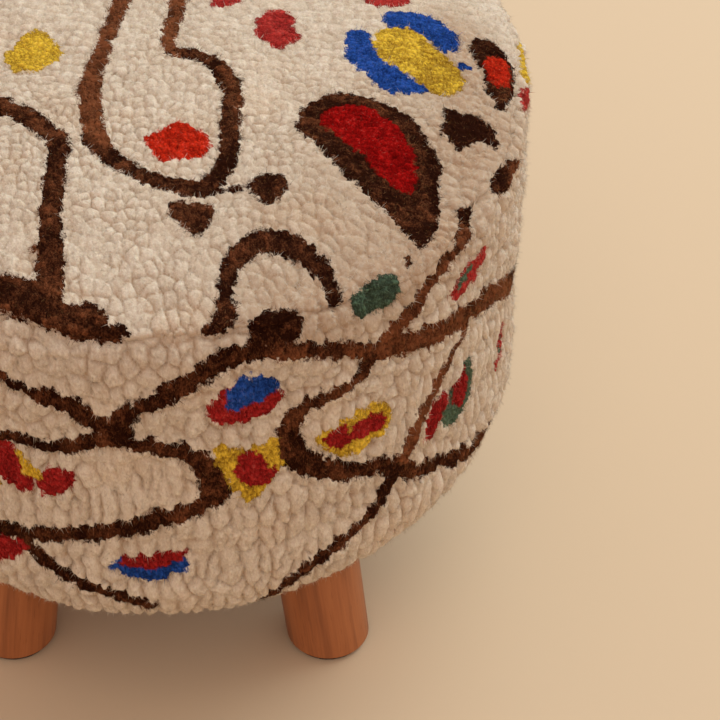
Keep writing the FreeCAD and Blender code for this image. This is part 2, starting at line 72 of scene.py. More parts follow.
camera_right = np.array((1.0, 0.0, 0.0))
camera_ahead = np.array((0.0, math.cos(camera_tilt), -math.sin(camera_tilt)))
camera_up = np.array((0.0, math.sin(camera_tilt), math.cos(camera_tilt)))
pixels_per_slope = picture_width * lens_length / sensor_width


def sight_lines(pixels):
    """Directions of sight: ahead, plus right by the pixel's distance from the picture's centre
    over the focal length in pixels, plus up in the same way."""
    off = (np.asarray(pixels, float) - picture_width / 2) / pixels_per_slope
    return camera_ahead + camera_right * off[:, :1] - camera_up * off[:, 1:]


print("camera at", camera_place, "mm, focal length", round(pixels_per_slope), "pixels")

# %% [markdown]
# ## The outline of the drum
# The rug's outline is a chain of arcs, the same as in the CAD: a wide crown, a tight top edge, a
# nearly straight side, a wide lower rounding and a tight turn under the board. Turned round the
# axis it gives the surface at the tips of the pile. Everything on the rug is then placed by two
# numbers: the angle round the drum, and the way along the outline from the middle of the top.

# %% The outline as radius and height along its length
seat_height, cover_radius, underside_height = 382.0, 212.0, 112.0
crown_radius, top_edge_radius, belly_radius = 1170.0, 22.0, 2800.0
lower_edge_radius, hem_edge_radius, hem_lip_radius = 72.0, 30.0, 8.7
hem_turn = math.radians(50)
rug_depth = 17.0
seam_angle = math.radians(45)

crown_z = seat_height - crown_radius
edge_x = cover_radius - top_edge_radius
edge_z = crown_z + math.sqrt((crown_radius - top_edge_radius) ** 2 - edge_x ** 2)
belly_x = cover_radius - belly_radius
hem_z = underside_height + hem_edge_radius
turn_reach = lower_edge_radius - hem_edge_radius
lower_z = hem_z + turn_reach * math.sin(hem_turn)
lower_x = belly_x + math.sqrt((belly_radius - lower_edge_radius) ** 2 - (edge_z - lower_z) ** 2)
hem_x = lower_x + turn_reach * math.cos(hem_turn)
crown_end = math.atan2(edge_z - crown_z, edge_x)
belly_end = math.atan2(lower_z - edge_z, lower_x - belly_x)

outline_arcs = [
    (0, crown_z, crown_radius, math.pi / 2, crown_end),
    (edge_x, edge_z, top_edge_radius, crown_end, 0),
    (belly_x, edge_z, belly_radius, 0, belly_end),
    (lower_x, lower_z, lower_edge_radius, belly_end, -hem_turn),
    (hem_x, hem_z, hem_edge_radius, -hem_turn, -math.pi / 2),
    (hem_x, underside_height + hem_lip_radius, hem_lip_radius, -math.pi / 2, -math.pi),
]
outline_step = 0.2


def chained_arcs(arcs, step):
    """Points along a chain of arcs: centre plus radius times the cosine and sine of an angle that
    runs evenly from the arc's first to its last. Also the outward direction and the way so far."""
    radii, heights, turns, ways = [], [], [], []
    way = 0.0
    for centre_x, centre_z, radius, first, last in arcs:
        length = radius * abs(last - first)
        angles = np.linspace(first, last, int(length / step) + 2)
        radii.append(centre_x + radius * np.cos(angles))
        heights.append(centre_z + radius * np.sin(angles))
        turns.append(angles)
        ways.append(way + np.linspace(0, length, len(angles)))
        way += length
    return [np.concatenate(parts) for parts in (radii, heights, turns, ways)]


outline_radius, outline_z, outline_turn, outline_way = chained_arcs(outline_arcs, outline_step)
seam_way = crown_radius * (math.pi / 2 - crown_end) + top_edge_radius * (crown_end - seam_angle)
lip_way = outline_way[-1]


def on_outline(way):
    """Radius, height and outward turn of the outline this far along it."""
    return [np.interp(way, outline_way, part) for part in (outline_radius, outline_z, outline_turn)]


print("outline %.0f mm long, seam at %.0f mm" % (lip_way, seam_way))

# %% [markdown]
# ## Chance that repeats
# Wool is uneven, but the script has to give the same stool every time. So chance comes from
# arithmetic: whole-number cells are mixed into numbers that look random but never change.
# Smooth noise blends the numbers at the corners of a cube, and knots are seed points, one in
# each cell, pushed off centre.

# %% Repeatable chance, smooth noise and knots
mixing_prime = np.uint32(2654435761)
folding_prime = np.uint32(2246822519)


def cell_chance(seed, *cells):
    """A number from 0 to 1 for each cell: its whole numbers are folded in one after the other,
    each time multiplied by a large prime and mixed with its own upper bits."""
    mixed = np.full(np.shape(cells[0]), seed + 1, np.uint32) * folding_prime
    for cell in cells:
        mixed = (mixed ^ np.asarray(cell, np.int64).astype(np.uint32)) * mixing_prime
        mixed = (mixed ^ (mixed >> np.uint32(15))) * folding_prime
        mixed = mixed ^ (mixed >> np.uint32(13))
    return mixed / 2.0 ** 32


def smooth_noise(places, size, seed):
    """Noise from -1 to 1 in space: chance at the eight corners of each cube of this size, blended
    by 3t^2 - 2t^3 along each axis."""
    scaled = places / size
    base = np.floor(scaled).astype(np.int64)
    part = scaled - base
    part = part * part * (3 - 2 * part)
    total = np.zeros(len(places))
    for corner in np.ndindex(2, 2, 2):
        weight = np.prod(np.where(np.array(corner) == 1, part, 1 - part), axis=1)
        total += weight * cell_chance(seed, *(base + corner).T)
    return total * 2 - 1


def noise_pair(places, size, seed):
    """Two noises side by side, to push something two ways."""
    return np.stack([smooth_noise(places, size, seed + way) for way in (0, 1)], axis=1)


def knots(grid, jitter, seed, around=0):
    """The nearest knot of each place on a unit grid: its distance, the distance to the second
    nearest, the offset from it and its cell. Cells repeat after this many around."""
    base = np.floor(grid).astype(np.int64)
    near = np.full(len(grid), 9.0)
    second = near.copy()
    offset = np.zeros_like(grid)
    cell = np.zeros_like(base)
    for shift in np.ndindex(3, 3):
        tile = base + shift - 1
        name = tile.copy()
        if around:
            name[:, 0] %= around
        push = np.stack([cell_chance(seed + way, *name.T) - 0.5 for way in (0, 1)], axis=1)
        away = grid - (tile + 0.5 + jitter * push)
        distance = np.hypot(*away.T)
        closer = distance < near
        second = np.where(closer, near, np.minimum(second, distance))
        near = np.where(closer, distance, near)
        offset[closer] = away[closer]
        cell[closer] = name[closer]
    return near, second, offset, cell


print("chance of cell (3, 4):", cell_chance(1, np.array([3]), np.array([4]))[0].round(3))

# %% [markdown]
# ## The pattern
# Rugs of this kind are knotted freehand: brown lines that wander and join, and small patches
# of dyed wool between them. Each line or patch here is a few points, read off the photograph
# where it shows, and laid out in the same manner where it doesn't. The distance from a knot
# to a line decides its yarn, so the edges are ragged knot by knot, as on the real rug.

# %% Bring points of the photograph onto the rug
pillow = [(143, 4.0, 42), (199, -2.0, 12)]


def bell(offset, width):
    return np.exp(-(offset / width) ** 2)


def pillow_rise(way):
    """The cover is flatter in the middle of the top and rounder near its rim than the board."""
    return sum(rise * bell(way - at, width) for at, rise, width in pillow)


upper = outline_way < outline_way[np.argmin(outline_z)]
heights_up = (outline_z + pillow_rise(outline_way))[upper][::-1]
radii_up = outline_radius[upper][::-1]
ways_up = outline_way[upper][::-1]
flat_limit = 190.0
sight_samples = 1500


def onto_rug(pixels):
    """Where lines of sight meet the rug: samples of each line between the height of the seat
    and the underside, and of these the first that is nearer the axis than the outline is at
    its height. Gives the angle round the drum and the way along the outline."""
    lines = sight_lines(pixels)
    first = (camera_place[2] - seat_height - rug_depth) / -lines[:, 2]
    last = (camera_place[2] - underside_height) / -lines[:, 2]
    reach = first[:, None] + (last - first)[:, None] * np.linspace(0, 1, sight_samples)
    sample = camera_place + reach[..., None] * lines[:, None]
    radius = np.hypot(sample[..., 0], sample[..., 1])
    limit = np.interp(sample[..., 2], heights_up, radii_up, right=-1)
    gap = radius - limit
    index = np.where((gap < 0).any(1), (gap < 0).argmax(1), gap.argmin(1))
    met = sample[np.arange(len(lines)), index]
    radius = np.hypot(met[:, 0], met[:, 1])
    way = np.interp(met[:, 2], heights_up, ways_up)
    flat = crown_radius * np.arcsin(np.minimum(radius, flat_limit) / crown_radius)
    return np.arctan2(met[:, 1], met[:, 0]), np.where(radius < flat_limit, flat, way)


def laid_flat(panel, angle, way):
    """Panel coordinates in millimetres. The top is laid out by the way from its middle, the side
    by the arc round the drum and the way down."""
    if panel == "top":
        return np.stack([way * np.cos(angle), way * np.sin(angle)], axis=-1)
    return np.stack([angle * cover_radius, way], axis=-1)


corner_rounds = 2
side_length = full_circle * cover_radius
near_seam = 40.0
pattern = []


def rounded(points, closed):
    """Corners cut to a smooth line: each corner is replaced by points a quarter and three
    quarters along its runs, twice over."""
    for _ in range(corner_rounds):
        following = np.roll(points, -1, axis=0)
        near, far = points * 0.75 + following * 0.25, points * 0.25 + following * 0.75
        cut = np.stack([near, far], axis=1).reshape(-1, points.shape[1])
        points = cut if closed else np.vstack([points[:1], cut[:-2], points[-1:]])
    return points


def add_to_pattern(yarn, width, angle, way):
    """Adds a path to each panel that it comes near, so that a motif runs on over the seam. Its
    last column is half the line's width there, spread evenly from the widths given."""
    half = np.interp(np.linspace(0, 1, len(way)), np.linspace(0, 1, np.size(width)),
                     np.ravel(width)) / 2
    closed = not np.any(width)
    panels = [("top", way.min() < seam_way + near_seam), ("side", way.max() > seam_way - near_seam)]
    for panel in [name for name, near in panels if near]:
        path = np.column_stack([laid_flat(panel, np.unwrap(angle), way), half])
        pattern.append((panel, yarn, closed, rounded(path, closed)))


def draw(yarn, width, *pixels):
    """A line, or a filled patch where the width is 0, through pixels of the photograph. Several
    widths in millimetres are spread along the line."""
    add_to_pattern(yarn, width, *onto_rug(pixels))


def draw_on_top(yarn, width, *places):
    """The same for what the photograph doesn't show: millimetres to the right and back."""
    right, back = np.array(places, float).T
    add_to_pattern(yarn, width, np.arctan2(back, right), np.hypot(right, back))


def draw_on_side(yarn, width, *places):
    """The same in degrees round the drum and millimetres along the outline."""
    degrees, way = np.array(places, float).T
    add_to_pattern(yarn, width, np.radians(degrees), way)


print("photo centre meets the rug at", [float(v[0].round(2)) for v in onto_rug([(360, 360)])])

# %% [markdown]
# The top panel: a looped line, a leaf with a red core, an arch and patches of dyed wool.

# %% The lines of the top panel
draw("light_brown", (10, 10, 10, 10, 12, 13, 12, 11, 12),
     (124, -8), (113, 20), (106, 41), (98, 61), (90, 80), (89, 98), (92, 116), (94, 130),
     (103, 148))
draw("brown", (13, 12, 12, 11, 11, 13, 14, 12, 11, 11, 12, 12, 12, 10, 9, 9),
     (92, 138), (104, 151), (122, 164), (141, 175), (162, 183), (184, 187), (204, 189), (217, 178),
     (227, 161), (230, 149), (230, 119), (233, 92), (227, 75), (211, 60), (190, 52), (172, 51))
draw("light_brown", (9, 9, 9, 10, 11), (176, 53), (168, 46), (170, 34), (174, 18), (179, -8))
draw("brown", (12, 12, 13, 13, 12, 12, 12, 14, 17),
     (-8, 107), (18, 112), (34, 121), (50, 133), (60, 142), (57, 161), (53, 184), (51, 207),
     (50, 230), (50, 252), (47, 300))
draw("brown", 0,
     (-8, 271), (13, 277), (26, 281), (42, 279), (58, 300), (71, 309), (89, 303), (104, 311),
     (107, 319),
     (108, 328), (122, 327), (129, 335), (122, 340), (109, 344), (96, 338), (78, 339), (60, 332),
     (38, 324),
     (23, 319), (0, 306), (-8, 303))
draw("light_brown", 5, (33, 248), (35, 250))
draw("light_brown", 9, (43, 265), (45, 268))
draw("brown", 4, (204, 188), (222, 190), (241, 187))
draw("brown", (8, 8, 9, 11, 14, 16, 14, 12, 10, 9, 8),
     (216, 330), (224, 307), (225, 284), (231, 260), (252, 243), (275, 239), (298, 246),
     (316, 258), (328, 274), (333, 290), (334, 304))
draw("brown", 0,
     (222, 300), (220, 311), (212, 322), (201, 330), (206, 335), (221, 334), (229, 327), (236, 316),
     (236, 300))
draw("brown", 0,
     (297, 132), (301, 107), (317, 98), (338, 92), (362, 95), (387, 104), (411, 116), (427, 138),
     (442, 162), (437, 181), (439, 211), (432, 232), (421, 248), (411, 238), (403, 224), (387, 208),
     (370, 197), (356, 182), (338, 167), (326, 150), (306, 136))
draw("light_brown", 0, (403, 258), (409, 252), (413, 260), (407, 267))
draw("brown", 0, (245, 182), (264, 174), (288, 177), (286, 192), (269, 205), (255, 196))
draw("brown", 0, (167, 203), (190, 202), (219, 207), (208, 222), (196, 238), (184, 228), (170, 215))
draw("brown", 0,
     (467, 45), (477, 37), (493, 45), (504, 56), (514, 78), (514, 94), (506, 110), (498, 110),
     (487, 88), (482, 67), (471, 54))
draw("brown", 0,
     (442, 109), (455, 110), (466, 116), (476, 113), (484, 122), (496, 133), (499, 152), (490, 142),
     (476, 138), (466, 144), (457, 146), (453, 136), (436, 132), (447, 124))

# %% The dyed patches of the top panel
draw("yellow", 0,
     (3, 55), (15, 47), (29, 31), (47, 32), (54, 44), (62, 50), (57, 60), (43, 70), (26, 73),
     (14, 70), (6, 60))
draw("orange", 0,
     (143, 135), (164, 130), (176, 121), (190, 124), (202, 132), (210, 141), (208, 152),
     (188, 160), (168, 160), (156, 156), (150, 144))
draw("crimson", 0,
     (257, 20), (271, 12), (287, 11), (294, 20), (292, 29), (300, 37), (287, 44), (277, 49),
     (271, 43), (258, 34))
draw("blue", 0,
     (346, 35), (353, 29), (366, 30), (372, 40), (373, 50), (381, 61), (395, 69), (410, 78),
     (428, 87), (430, 92), (399, 93), (384, 90), (375, 80), (362, 70), (350, 61), (346, 50))
draw("blue", 0,
     (383, 15), (393, 11), (410, 14), (428, 17), (440, 24), (453, 35), (460, 43), (454, 52),
     (445, 54), (434, 47), (427, 38), (411, 29), (395, 27), (385, 23))
draw("yellow", 0,
     (373, 34), (387, 28), (411, 29), (424, 37), (430, 47), (444, 57), (456, 66), (463, 77),
     (463, 86), (454, 93), (444, 97), (431, 89), (418, 80), (399, 70), (384, 60), (376, 47))
draw("blue", 5, (461, 66), (469, 68))
draw("red", 0,
     (320, 121), (326, 110), (350, 104), (375, 110), (387, 121), (399, 127), (407, 142),
     (416, 156), (414, 191), (402, 188), (382, 173), (367, 155), (347, 141), (335, 130))
draw("green", 0,
     (350, 298), (360, 288), (371, 280), (384, 271), (396, 277), (400, 287), (392, 304), (385, 311),
     (371, 313), (364, 321), (356, 316))
draw("crease", 1, (368, 284), (373, 297), (371, 312))
draw("orange", 0, (482, 56), (498, 58), (506, 67), (509, 88), (501, 91), (487, 75))
draw("crimson", 0, (366, -9), (412, -9), (409, 5), (388, 7), (369, 4))
draw("crimson", 0, (212, -9), (241, -9), (238, 3), (216, 3))
draw("yellow", 0, (514, 36), (522, 50), (530, 72), (534, 84), (526, 82), (519, 62))
draw("crimson", 0, (526, 84), (534, 86), (534, 100), (530, 114), (522, 101))

# %% [markdown]
# The side: one line runs round under the seam, and others hang from it in loops.

# %% The lines of the side
draw("light_brown", (15, 17, 18, 18, 17, 15),
     (518, 279), (500, 291), (480, 306), (460, 320), (438, 332), (418, 340), (396, 347))
draw("mid_brown", (14, 13, 12, 11, 12, 12),
     (418, 340), (403, 346), (380, 350), (340, 350), (300, 350), (268, 349))
draw("brown", (12, 13, 13, 14, 12, 13, 14),
     (268, 349), (241, 352), (220, 362), (191, 381), (172, 390), (153, 401), (134, 407), (112, 424))
draw("brown", 0,
     (249, 324), (256, 317), (270, 311), (288, 309), (300, 313), (304, 323), (299, 335), (282, 342),
     (256, 345), (248, 336))
draw("brown", (9, 8, 8, 11, 14, 13, 13, 14), (-8, 371), (12, 382), (30, 391), (45, 396), (60, 399),
     (78, 409),
     (95, 420), (112, 431))
draw("brown", (7, 7, 6, 10, 12, 13, 12, 14), (-8, 434), (22, 436), (40, 445), (52, 447), (68, 445),
     (82, 443),
     (97, 439), (112, 436))
draw("brown", 0, (97, 417), (112, 414), (128, 405), (131, 426), (134, 444), (112, 446), (92, 441),
     (98, 429))
draw("brown", (13, 10, 13, 13, 13, 15, 18, 18, 15, 13, 13, 13, 13, 12, 12),
     (112, 434), (134, 444), (153, 447), (185, 451), (198, 459), (210, 469), (216, 480), (215, 493),
     (203, 505), (177, 514), (145, 523), (107, 531), (67, 535), (35, 532), (-8, 524))
draw("brown", (10, 11, 11, 11, 10, 9),
     (24, 538), (38, 552), (52, 565), (72, 578), (96, 588), (121, 595), (141, 601), (152, 604))
draw("brown", (11, 10, 10, 10, 11, 14, 16, 16, 14, 13, 12, 12, 13, 13, 13),
     (373, 352), (366, 371), (350, 385), (334, 393), (316, 400), (298, 412), (288, 427), (287, 445),
     (300, 460), (326, 470), (354, 471), (380, 465), (403, 468), (420, 474), (444, 463),
     (464, 455), (481, 441))
draw("light_brown", (10, 10, 9, 9, 10, 12, 14),
     (471, 318), (464, 342), (454, 359), (441, 381), (430, 400), (415, 432), (403, 462))
draw("brown", (14, 11, 11, 12, 12, 13, 13),
     (394, 478), (381, 505), (357, 530), (329, 552), (301, 572), (276, 591), (266, 597))
draw("brown", 0,
     (491, 181), (497, 169), (507, 161), (523, 156), (522, 166), (515, 177), (509, 192), (498, 193),
     (493, 187))
draw("brown", 0, (457, 203), (466, 208), (473, 202), (475, 214), (471, 228), (463, 220), (457, 214))
thin_line = ((465, 222), (463, 240), (453, 255), (441, 269), (431, 283), (422, 297), (414, 309),
             (403, 322), (388, 339))
draw("light_brown", (10, 10, 10, 10, 10, 11, 13, 14, 16), *thin_line)
draw("crease", 1, (480, 196), *thin_line[:-2])

# %% The dyed patches of the side
draw("madder", 0, (206, 404), (228, 383), (284, 388), (284, 399), (260, 418), (214, 427))
draw("blue", 0, (222, 399), (233, 386), (252, 372), (281, 379), (278, 388), (254, 402), (233, 410))
draw("yellow", 0,
     (213, 446), (230, 450), (253, 448), (267, 440), (277, 436), (283, 465), (274, 479), (262, 490),
     (250, 500), (237, 493), (229, 480), (221, 466))
draw("madder", 0,
     (236, 454), (248, 450), (261, 454), (267, 464), (277, 468), (277, 478), (259, 487), (242, 483),
     (235, 471))
draw("yellow", 0,
     (316, 437), (330, 428), (345, 420), (358, 410), (372, 404), (389, 403), (393, 414), (388, 428),
     (376, 440), (362, 450), (346, 456), (331, 452), (320, 446))
draw("madder", 0, (325, 438), (334, 430), (346, 427), (353, 433), (351, 445), (340, 451),
     (330, 447))
draw("madder", 0,
     (353, 430), (360, 422), (372, 416), (385, 413), (387, 420), (378, 430), (366, 437), (356, 439))
draw("madder", 0,
     (-8, 442), (12, 444), (17, 457), (22, 469), (34, 479), (31, 489), (14, 488), (4, 476),
     (-8, 466))
draw("madder", 0, (38, 477), (46, 465), (60, 466), (74, 473), (73, 485), (62, 490), (49, 498),
     (38, 490))
draw("yellow", 0, (17, 449), (25, 451), (27, 461), (41, 469), (41, 480), (33, 480), (20, 466))
draw("yellow", 5, (-6, 478), (1, 482))
draw("blue", 0, (108, 564), (118, 560), (187, 557), (187, 568), (161, 579), (139, 581), (118, 570))
draw("madder", 0, (118, 557), (161, 554), (185, 549), (185, 560), (161, 568), (129, 568))
draw("madder", 0, (-8, 536), (10, 534), (25, 539), (28, 548), (18, 555), (0, 557), (-8, 557))
draw("madder", 0,
     (445, 388), (450, 398), (448, 411), (441, 425), (434, 440), (424, 437), (427, 424), (434, 409))
draw("green", 0,
     (473, 358), (475, 375), (473, 395), (467, 411), (455, 426), (443, 424), (446, 411), (453, 397),
     (460, 383), (466, 368))
draw("madder", 0, (465, 366), (470, 376), (469, 393), (464, 405), (456, 407), (456, 394),
     (460, 379))
draw("crimson", 0,
     (487, 246), (478, 257), (469, 263), (461, 272), (458, 284), (452, 292), (451, 297), (455, 298),
     (463, 290), (471, 283), (478, 275), (480, 267), (486, 258))
draw("green", 4, (471, 266), (465, 277), (460, 284))
draw("crimson", 9, (507, 324), (504, 345), (500, 366))
draw("green", 3, (506, 334), (503, 352))

# %% [markdown]
# What the photograph doesn't show goes on in the same hand: its lines leave the picture, wander
# round the back and meet again, with patches of dyed wool in the fields between them.

# %% The lines out of the picture
draw_on_top("brown", (12, 14, 15, 15, 14, 12),
            (-18, 50), (-25, 76), (-29, 103), (-13, 128), (17, 129), (34, 106), (27, 76), (14, 50))
draw_on_top("brown", (12, 13, 11, 13),
     (-79, -44), (-108, -37), (-139, -22), (-172, -14), (-206, -6), (-216, -5))
draw_on_top("brown", (20, 16, 13, 12, 12),
            (-68, -180), (-93, -168), (-121, -147), (-146, -117), (-160, -84), (-154, -52),
            (-140, -23))
draw_on_top("brown", 0,
     (-152, 44), (-146, 70), (-122, 98), (-94, 112), (-78, 98), (-88, 76), (-112, 52), (-134, 34))
draw_on_top("brown", (11, 13, 14, 13, 12, 13),
     (62, 222), (72, 182), (87, 154), (79, 124), (98, 100), (128, 92), (152, 104), (178, 98),
     (208, 78))
draw_on_top("brown", 0, (-50, 150), (-34, 156), (-22, 150), (-30, 168), (-40, 172))
draw_on_side("brown", (9, 11, 13, 12, 12, 13, 14, 12, 8, 7),
             (-109, 244), (-122, 232), (-138, 228), (-152, 240), (-160, 262), (-158, 288),
             (-148, 308),
             (-134, 311), (-121, 300), (-110, 290))
draw_on_side("brown", (12, 13, 13, 14, 13, 12, 13, 14),
             (-112, 366), (-128, 370), (-146, 362), (-162, 346), (-178, 330), (-196, 334),
             (-212, 352),
             (-226, 376), (-240, 398), (-254, 403), (-270, 393), (-286, 372))
draw_on_side("brown", (14, 12, 12, 13, 13),
     (-286, 372), (-300, 352), (-314, 346), (-330, 362), (-344, 396), (-358, 426), (-372, 428),
     (-387, 406))
draw_on_side("brown", (13, 14, 13, 12, 12, 13, 14, 12),
     (-15, 311), (-8, 332), (0, 348), (16, 352), (36, 328), (52, 286), (66, 239), (84, 246),
     (98, 262), (108, 285), (111, 310), (103, 333), (88, 345), (72, 346), (58, 352), (46, 346))
draw_on_side("brown", (12, 11, 12), (66, 239), (72, 226), (73, 212), (71, 196))
draw_on_side("brown", (12, 11, 11, 13), (98, 262), (118, 252), (138, 233), (158, 222), (179, 216),
             (181, 204))
draw_on_side("brown", (11, 10, 12), (-160, 262), (-176, 268), (-190, 284), (-199, 308), (-197, 334))
draw_on_side("brown", (12, 9, 8), (-212, 352), (-205, 380), (-190, 408), (-170, 430))

# %% Patches of dyed wool out of the picture
spot_sides = 9


def draw_spot(panel, yarn, across, down, wide, tall, seed):
    """An uneven round patch: corners of an oval, each moved in or out by up to a third."""
    corner = np.arange(spot_sides)
    turn = full_circle * corner / spot_sides
    reach = 0.5 * (0.8 + 0.5 * cell_chance(seed, corner))
    x, y = wide * reach * np.cos(turn), tall * reach * np.sin(turn)
    if panel == "side":
        x = np.degrees(x / cover_radius)
    (draw_on_top if panel == "top" else draw_on_side)(yarn, 0, *zip(across + x, down + y))


for number, spot in enumerate([
        ("top", "yellow", 1, 98, 30, 22), ("top", "crimson", 132, 54, 30, 20),
        ("top", "crimson", 41, 48, 16, 16),
        ("top", "blue", -116, 74, 44, 26), ("top", "red", -112, -96, 38, 28),
        ("top", "yellow", -110, -94, 18, 12),
        ("top", "orange", 112, 128, 32, 22), ("top", "green", 34, 168, 26, 16),
        ("top", "crimson", -62, 148, 20, 16),
        ("side", "red", -135, 270, 48, 34), ("side", "blue", -135, 268, 28, 18),
        ("side", "yellow", -131, 338, 34, 18),
        ("side", "crimson", -178, 300, 26, 34), ("side", "blue", -180, 388, 40, 22),
        ("side", "red", -178, 380, 26, 12),
        ("side", "yellow", -226, 300, 46, 30), ("side", "red", -226, 300, 26, 14),
        ("side", "green", -240, 350, 26, 20),
        ("side", "orange", 78, 294, 50, 34), ("side", "blue", 80, 292, 22, 14),
        ("side", "crimson", 22, 292, 24, 38),
        ("side", "green", 20, 292, 10, 20), ("side", "yellow", 4, 386, 40, 22),
        ("side", "red", 3, 386, 22, 10),
        ("side", "blue", 44, 400, 44, 22), ("side", "crimson", 100, 424, 36, 18),
        ("side", "yellow", 22, 240, 30, 18),
        ("side", "red", 150, 262, 36, 24), ("side", "orange", -160, 420, 30, 16)]):
    draw_spot(*spot, 200 + number)
print(len(pattern), "lines and patches")

# %% [markdown]
# ## Meshes worked out as whole arrays
# Each piece is a grid of points worked out at once. A grid's faces are the same for any shape,
# so one helper numbers them. Points are in millimetres, as in the CAD, until they enter a mesh.

# %% Meshes from arrays
def grid_faces(rows, columns, close_rows=False, close_columns=False):
    """Four-sided faces of a grid whose points are numbered row by row. Rows run downwards and
    columns anticlockwise seen from above, so that the faces look outwards."""
    row = np.arange(rows if close_rows else rows - 1)[:, None]
    column = np.arange(columns if close_columns else columns - 1)[None, :]
    below, beside = (row + 1) % rows, (column + 1) % columns
    corners = [row * columns + column, below * columns + column,
               below * columns + beside, row * columns + beside]
    return np.stack(corners, axis=-1).reshape(-1, 4)


def fan_faces(ring, centre):
    """Triangles from a ring of points, given by number, to one point."""
    return np.stack([ring, np.full(len(ring), centre), np.roll(ring, -1)], axis=1)


def full_turn(sides):
    """Even angles once round the axis."""
    return np.linspace(0, full_circle, sides, endpoint=False)


def round_axis(radius, turn, height):
    """Points from a radius, an angle round the axis and a height."""
    x, y = radius * np.cos(turn), radius * np.sin(turn)
    return np.stack([x, y, np.broadcast_to(height, x.shape)], axis=-1)


def new_piece(name, points, *face_sets, smooth=True):
    """An object from points in millimetres and arrays of faces, one array for each face size."""
    mesh = bpy.data.meshes.new(name)
    corners = np.concatenate([np.ravel(faces) for faces in face_sets]).astype(np.int32)
    sizes = np.concatenate([np.full(len(faces), faces.shape[1]) for faces in face_sets])
    mesh.vertices.add(len(points))
    mesh.vertices.foreach_set("co", np.ravel(points * mm).astype(np.float32))
    mesh.loops.add(len(corners))
    mesh.loops.foreach_set("vertex_index", corners)
    mesh.polygons.add(len(sizes))
    mesh.polygons.foreach_set("loop_start", (np.cumsum(sizes) - sizes).astype(np.int32))
    mesh.polygons.foreach_set("use_smooth", np.full(len(sizes), smooth))
    mesh.update(calc_edges=True)
    mesh.validate()
    piece = bpy.data.objects.new(name, mesh)
    bpy.context.scene.collection.objects.link(piece)
    print("%-22s %7d points %7d faces" % (name, len(points), len(sizes)))
    return piece


def keep_values(piece, **values):
    """Stores an array of numbers or of colours on the points of a piece, for its material."""
    for name, array in values.items():
        kind, field = ("FLOAT_COLOR", "color") if array.ndim == 2 else ("FLOAT", "value")
        layer = piece.data.attributes.new(name, kind, "POINT")
        layer.data.foreach_set(field, np.ravel(array).astype(np.float32))


# %% [markdown]
# ## Yarn
# The wool is undyed cream and brown, with a little dyed yarn. A knot takes the yarn of the line
# or patch that it sits in. Distances to the nearest line and patch are stored with the rug, and
# the material lets the fibres cross them.

# %% Which yarn a place has
yarns = {
    "orange": (0.74, 0.032, 0.010),
    "red": (0.43, 0.006, 0.005),
    "madder": (0.46, 0.024, 0.022),
    "crimson": (0.58, 0.046, 0.038),
    "yellow": (0.94, 0.63, 0.054),
    "blue": (0.023, 0.098, 0.45),
    "green": (0.110, 0.190, 0.115),
}
brown_tones = {"brown": 0.0, "mid_brown": 0.5, "light_brown": 1.0}
far_off = 20.0
reach_past = 9.0
patch_spread = 0.8


def path_distance(places, path, closed):
    """Distance to a path of straight runs less its half width there. For each run the foot of
    the square line is held between its two ends, and the nearest run counts."""
    ends = np.roll(path, -1, axis=0) if closed else path[1:]
    starts = path if closed else path[:-1]
    runs = (ends - starts)[:, :2]
    away = places[:, None] - starts[:, :2]
    share = np.clip((away * runs).sum(-1) / np.maximum((runs * runs).sum(-1), 1e-9), 0, 1)
    nearest = away - share[..., None] * runs
    half = starts[:, 2] + share * (ends - starts)[:, 2]
    return (np.sqrt((nearest * nearest).sum(-1)) - half).min(axis=1)


def inside_path(places, path):
    """True where a line drawn to the right of the place crosses the closed path an odd number
    of times."""
    across, up = places.T
    odd = np.zeros(len(places), bool)
    for (from_x, from_y, _), (to_x, to_y, _) in zip(path, np.roll(path, -1, axis=0)):
        slope = (to_x - from_x) / (to_y - from_y) if to_y != from_y else 0.0
        odd ^= ((from_y > up) != (to_y > up)) & (across < from_x + slope * (up - from_y))
    return odd


def measured_pattern(panel, flat):
    """For each place: millimetres to the nearest brown yarn and to the nearest dyed yarn, less
    than 0 inside it, that brown's lightness and that dyed yarn's colour, and millimetres to the
    nearest crease."""
    brown, dyed, crease = np.full((3, len(flat)), far_off)
    light = np.zeros(len(flat))
    colour = np.ones((len(flat), 4))
    for where, yarn, closed, path in pattern:
        if where != panel:
            continue
        low, high = path[:, :2].min(axis=0), path[:, :2].max(axis=0)
        middle, half = (low + high) / 2, (high - low) / 2 + path[:, 2].max() + reach_past
        places = flat.copy()
        if panel == "side":
            places[:, 0] += side_length * np.round((middle[0] - flat[:, 0]) / side_length)
        near = np.flatnonzero(np.all(np.abs(places - middle) < half, axis=1))
        if not len(near):
            continue
        edge = path_distance(places[near], path, closed)
        if closed:
            edge = np.where(inside_path(places[near], path), -edge, edge) - patch_spread
        if yarn == "crease":
            crease[near] = np.minimum(crease[near], edge)
        elif yarn not in yarns:
            light[near[edge < brown[near]]] = brown_tones[yarn]
            brown[near] = np.minimum(brown[near], edge)
        else:
            taken = (edge < 0) | (edge < dyed[near])
            dyed[near] = np.minimum(dyed[near], edge)
            colour[near[taken], :3] = yarns[yarn]
    return brown, dyed, light, colour, crease
